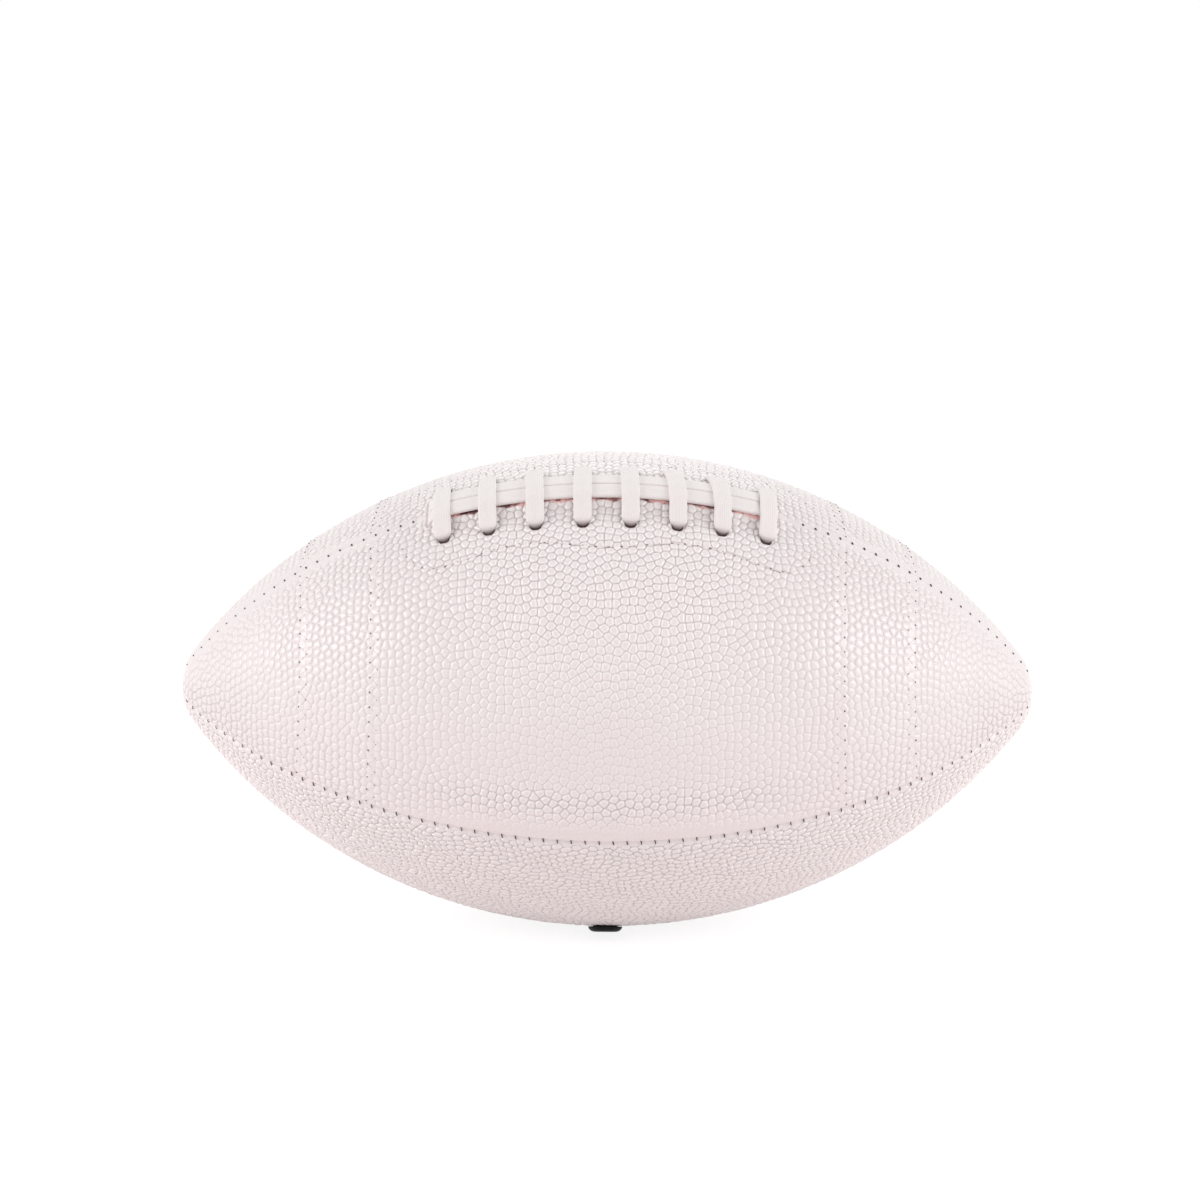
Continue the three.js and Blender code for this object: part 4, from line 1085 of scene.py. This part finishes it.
def make_lace():
    """The tape swept along its route, flat on the ball and turning edgewise into the holes."""
    points, ways, run = even_steps(*rounded(lace_route()), LACE_STEP)
    forward = unit(np.gradient(points, axis=0))
    lean = np.arcsin(points[:, 0] / ARC_RADIUS)
    spoke = unit(points * [0, 1, 1])
    out = spoke * np.cos(lean)[:, None] + np.array([1.0, 0, 0]) * np.sin(lean)[:, None]
    flat = np.cross(out, forward)
    steep = LACE_STEEP_TURN * np.abs((out * forward).sum(1))
    lengthwise = np.abs(forward[:, 0])
    section = lace_section()
    middle_height = surface_height(points)
    # The tape draws in and cups where it passes through a hole.
    in_hole = smooth(*LACE_HOLE_FADE, middle_height) * smooth(*LACE_INSIDE_FADE, middle_height)
    by_strands = np.abs(points @ ACROSS_LACING) < STRAND_EDGE + 1
    at_end = np.minimum(smooth(*LENGTHWISE_FADE, lengthwise) + by_strands, 1)
    drawn_in = in_hole * (1 - at_end)
    rings, ups = [], []
    side = flat[0]
    for i in range(len(points)):
        side = flat[i] * np.sign(flat[i] @ side) + ways[i] * steep[i] * np.sign(ways[i] @ side)
        side = unit(side - forward[i] * (side @ forward[i]))
        ups.append(np.cross(forward[i], side))
        rings.append(points[i] + section[:, :1] * side * (1 - LACE_DRAWN_IN * drawn_in[i]))
    ups = np.array(ups)
    outside = np.sign((ups * out).sum(1)[middle_height.argmax()])
    cup = -outside * (LACE_CUP + LACE_HOLE_CUP * drawn_in)
    cup = cup[:, None] * (2 * section[:, 0] / LACE_WIDTH) ** 2
    rings = np.array(rings) + ups[:, None] * (section[:, 1] + cup)[..., None]
    # The two long strands share one arch across the seam, so each leans down to its outer edge.
    aside = rings @ ACROSS_LACING - STRAND_SHIFT
    middle = (points @ ACROSS_LACING)[:, None] - STRAND_SHIFT
    flat_run = (lengthwise > LENGTHWISE) & (middle_height > 0)
    arch = STRAND_ARCH * ((middle / STRAND_EDGE) ** 2 - (aside / STRAND_EDGE) ** 2)
    rings += out[:, None] * (arch * flat_run[:, None])[..., None]
    heights = surface_height(rings.reshape(-1, 3))
    # Painted shade on the tape as it sinks into a hole, less at the strands' ends.
    soil = smooth(*LACE_PAINTED_SHADE_FADE, heights)
    soil *= 1 - LACE_END_PAINTED_SHADE_LOSS * np.repeat(at_end, len(section))
    attributes = {
        "along": np.repeat(run, len(section)),
        "across": np.tile(section[:, 0], len(points)),
        "soil": soil,
    }
    faces = tube_faces(len(points), len(section))
    obj = piece("lace_tape", rings.reshape(-1, 3), faces, [LACE], attributes)
    dress(obj, "lace_weave", "lace")


def surface_height(points):
    """Height of points above one of the ball's long arcs."""
    radius = np.hypot(points[:, 1], points[:, 2])
    return np.hypot(points[:, 0], radius + ARC_RADIUS - RADIUS) - ARC_RADIUS


make_lace()


# Valve


def make_valve():
    """The valve's profile turned round its bore."""
    face, head, bore = VALVE_FACE_DIAMETER / 2, VALVE_HEAD_DIAMETER / 2, NEEDLE_BORE / 2
    base, top = VALVE_HEAD_BASE, VALVE_HEAD_BASE + VALVE_HEAD_HEIGHT
    stem, end, flange = VALVE_STEM_RADIUS, VALVE_STEM_END, VALVE_FLANGE_RADIUS
    flange_top, flange_base = VALVE_FLANGE_TOP, VALVE_FLANGE_TOP - VALVE_FLANGE_THICKNESS
    inside = [[bore, end], [stem, end], [stem, flange_base], [flange, flange_base]]
    neck = [[flange, flange_top], [stem, flange_top], [stem, base], [head - VALVE_UNDERCUT, base]]
    bend = np.linspace(0, math.pi / 2, VALVE_BEND_STEPS)
    across, up = np.cos(bend), np.sin(bend)
    crown = np.stack([face + (head - face) * across, base + VALVE_HEAD_HEIGHT * up], -1)
    lip = np.stack([bore + VALVE_LIP * (1 - up), top - VALVE_LIP * (1 - across)], -1)
    profile = np.concatenate([inside, neck, crown, lip])
    angle = math.tau * np.arange(VALVE_SIDES) / VALVE_SIDES
    turn = PANELS["bottom_front"].turn(0.5) - VALVE_OFFSET / RADIUS
    out = np.array([0.0, -math.cos(turn), math.sin(turn)])
    around = np.array([0.0, math.sin(turn), math.cos(turn)])
    spokes = np.array([1.0, 0, 0]) * np.cos(angle)[:, None] + around * np.sin(angle)[:, None]
    points = profile[:, None, :1] * spokes + (RADIUS + profile[:, 1])[:, None, None] * out
    a = np.arange(len(profile) * VALVE_SIDES).reshape(-1, VALVE_SIDES)
    b = np.roll(a, -1, 1)
    faces = np.stack([a, b, np.roll(b, -1, 0), np.roll(a, -1, 0)], -1).reshape(-1, 4)
    obj = piece("valve_nub", points.reshape(-1, 3), faces, [VALVE_RUBBER])
    dress(obj, "valve_rubber", "valve")


make_valve()


# Inner pieces stay as packed, with their own materials
for node_name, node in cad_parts.items():
    if not node.hide_render:
        node.data.materials.clear()
        rubber = node_name in ("bladder", "valve_patch")
        node.data.materials.append(BLADDER_RUBBER if rubber else CLOTH)


# Floor, light and camera

FLOOR_HEIGHT = -0.0783
CAMERA_DISTANCE = 1.19
CAMERA_ELEVATION = math.radians(12.6)
CAMERA_ROLL = math.radians(0.47)
IMAGE_SIZE = 1200
PIXEL = 0.0003296  # metres at the middle of the ball
BALL_PIXEL = (607.2, 688.3)
WORLD_LIGHT = 0.72
WORLD_COLOUR = (1.0, 0.985, 0.98, 1)
FLOOR_REACH = 6.0
FLOOR_COLOUR = (0.99, 0.895, 0.902, 1)
FLOOR_WHITE = 0.86
FLOOR_SHADE = (0.3, 0.285, 0.285, 1)
SIDE_LAMP = (1.5, -0.35, 0.7)
SIDE_LAMP_SIZE, SIDE_LAMP_POWER = 1.0, 9
TOP_LAMP = (0, 1.1, 1.1)
TOP_LAMP_SIZE, TOP_LAMP_POWER = 0.8, 2


def show(m, lit, seen, output):
    """One shader lights the ball; another is seen by camera, glossy and transmission rays."""
    path = m.new("LightPath")
    seeing = path.outputs["Is Camera Ray"]
    for ray in ("Is Glossy Ray", "Is Transmission Ray"):
        seeing = m.math("MAXIMUM", seeing, path.outputs[ray])
    mix = m.new("MixShader")
    for socket, value in zip(mix.inputs, (seeing, lit.outputs[0], seen.outputs[0])):
        m.feed(socket, value)
    m.feed(m.tree.nodes[output].inputs["Surface"], mix.outputs[0])


def make_world():
    world = bpy.data.worlds.new("studio")
    bpy.context.scene.world = world
    m = Nodes("studio", world)
    light = m.tree.nodes["Background"]
    m.feed(light.inputs["Color"], WORLD_COLOUR)
    m.feed(light.inputs["Strength"], WORLD_LIGHT)
    white = m.new("Background", Color=(1, 1, 1, 1), Strength=1.0)
    show(m, light, white, "World Output")


def make_floor():
    """A pale floor that the camera sees as white, with the ball's shadow on it."""
    mesh = bpy.data.meshes.new("floor")
    low, high = -FLOOR_REACH, FLOOR_REACH
    corners = [(low, low, 0), (high, low, 0), (high, high, 0), (low, high, 0)]
    mesh.from_pydata(corners, [], [(0, 1, 2, 3)])
    floor = new_object("floor", mesh)
    floor.location.z = FLOOR_HEIGHT
    m = Nodes("floor")
    mesh.materials.append(m.owner)
    m.set({"Base Color": FLOOR_COLOUR, "Roughness": 0.9})
    glow = m.new("Emission", Strength=FLOOR_WHITE)
    matt = m.new("BsdfDiffuse", Color=FLOOR_SHADE)
    seen = m.new("AddShader")
    m.feed(seen.inputs[0], glow.outputs[0])
    m.feed(seen.inputs[1], matt.outputs[0])
    show(m, m.shader, seen, "Material Output")


def area_light(name, position, size, power):
    """A round lamp, in metres and watts, turned to the middle of the ball."""
    data = bpy.data.lights.new(name, "AREA")
    data.shape = "DISK"
    data.size = size
    data.energy = power
    light = new_object(name, data)
    light.location = position
    light.rotation_euler = (-Vector(position)).to_track_quat("-Z", "Y").to_euler()


def make_camera():
    data = bpy.data.cameras.new("camera")
    data.sensor_width = 36.0
    data.lens = data.sensor_width * CAMERA_DISTANCE / (IMAGE_SIZE * PIXEL)
    data.shift_x = (IMAGE_SIZE / 2 - BALL_PIXEL[0]) / IMAGE_SIZE
    data.shift_y = (BALL_PIXEL[1] - IMAGE_SIZE / 2) / IMAGE_SIZE
    camera = new_object("camera", data)
    back = Vector((0, -math.cos(CAMERA_ELEVATION), math.sin(CAMERA_ELEVATION)))
    up = Vector((0, math.sin(CAMERA_ELEVATION), math.cos(CAMERA_ELEVATION)))
    rolled = Vector((1, 0, 0)) * math.cos(CAMERA_ROLL) + up * math.sin(CAMERA_ROLL)
    turned = Matrix((rolled, back.cross(rolled), back)).transposed().to_4x4()
    camera.matrix_world = Matrix.Translation(back * CAMERA_DISTANCE) @ turned
    bpy.context.scene.camera = camera


make_world()
make_floor()
for side_name, side in SIDES:
    position = (side * SIDE_LAMP[0], *SIDE_LAMP[1:])
    area_light(side_name, position, SIDE_LAMP_SIZE, SIDE_LAMP_POWER)
area_light("top", TOP_LAMP, TOP_LAMP_SIZE, TOP_LAMP_POWER)
make_camera()

bpy.context.scene.view_settings.view_transform = "Standard"
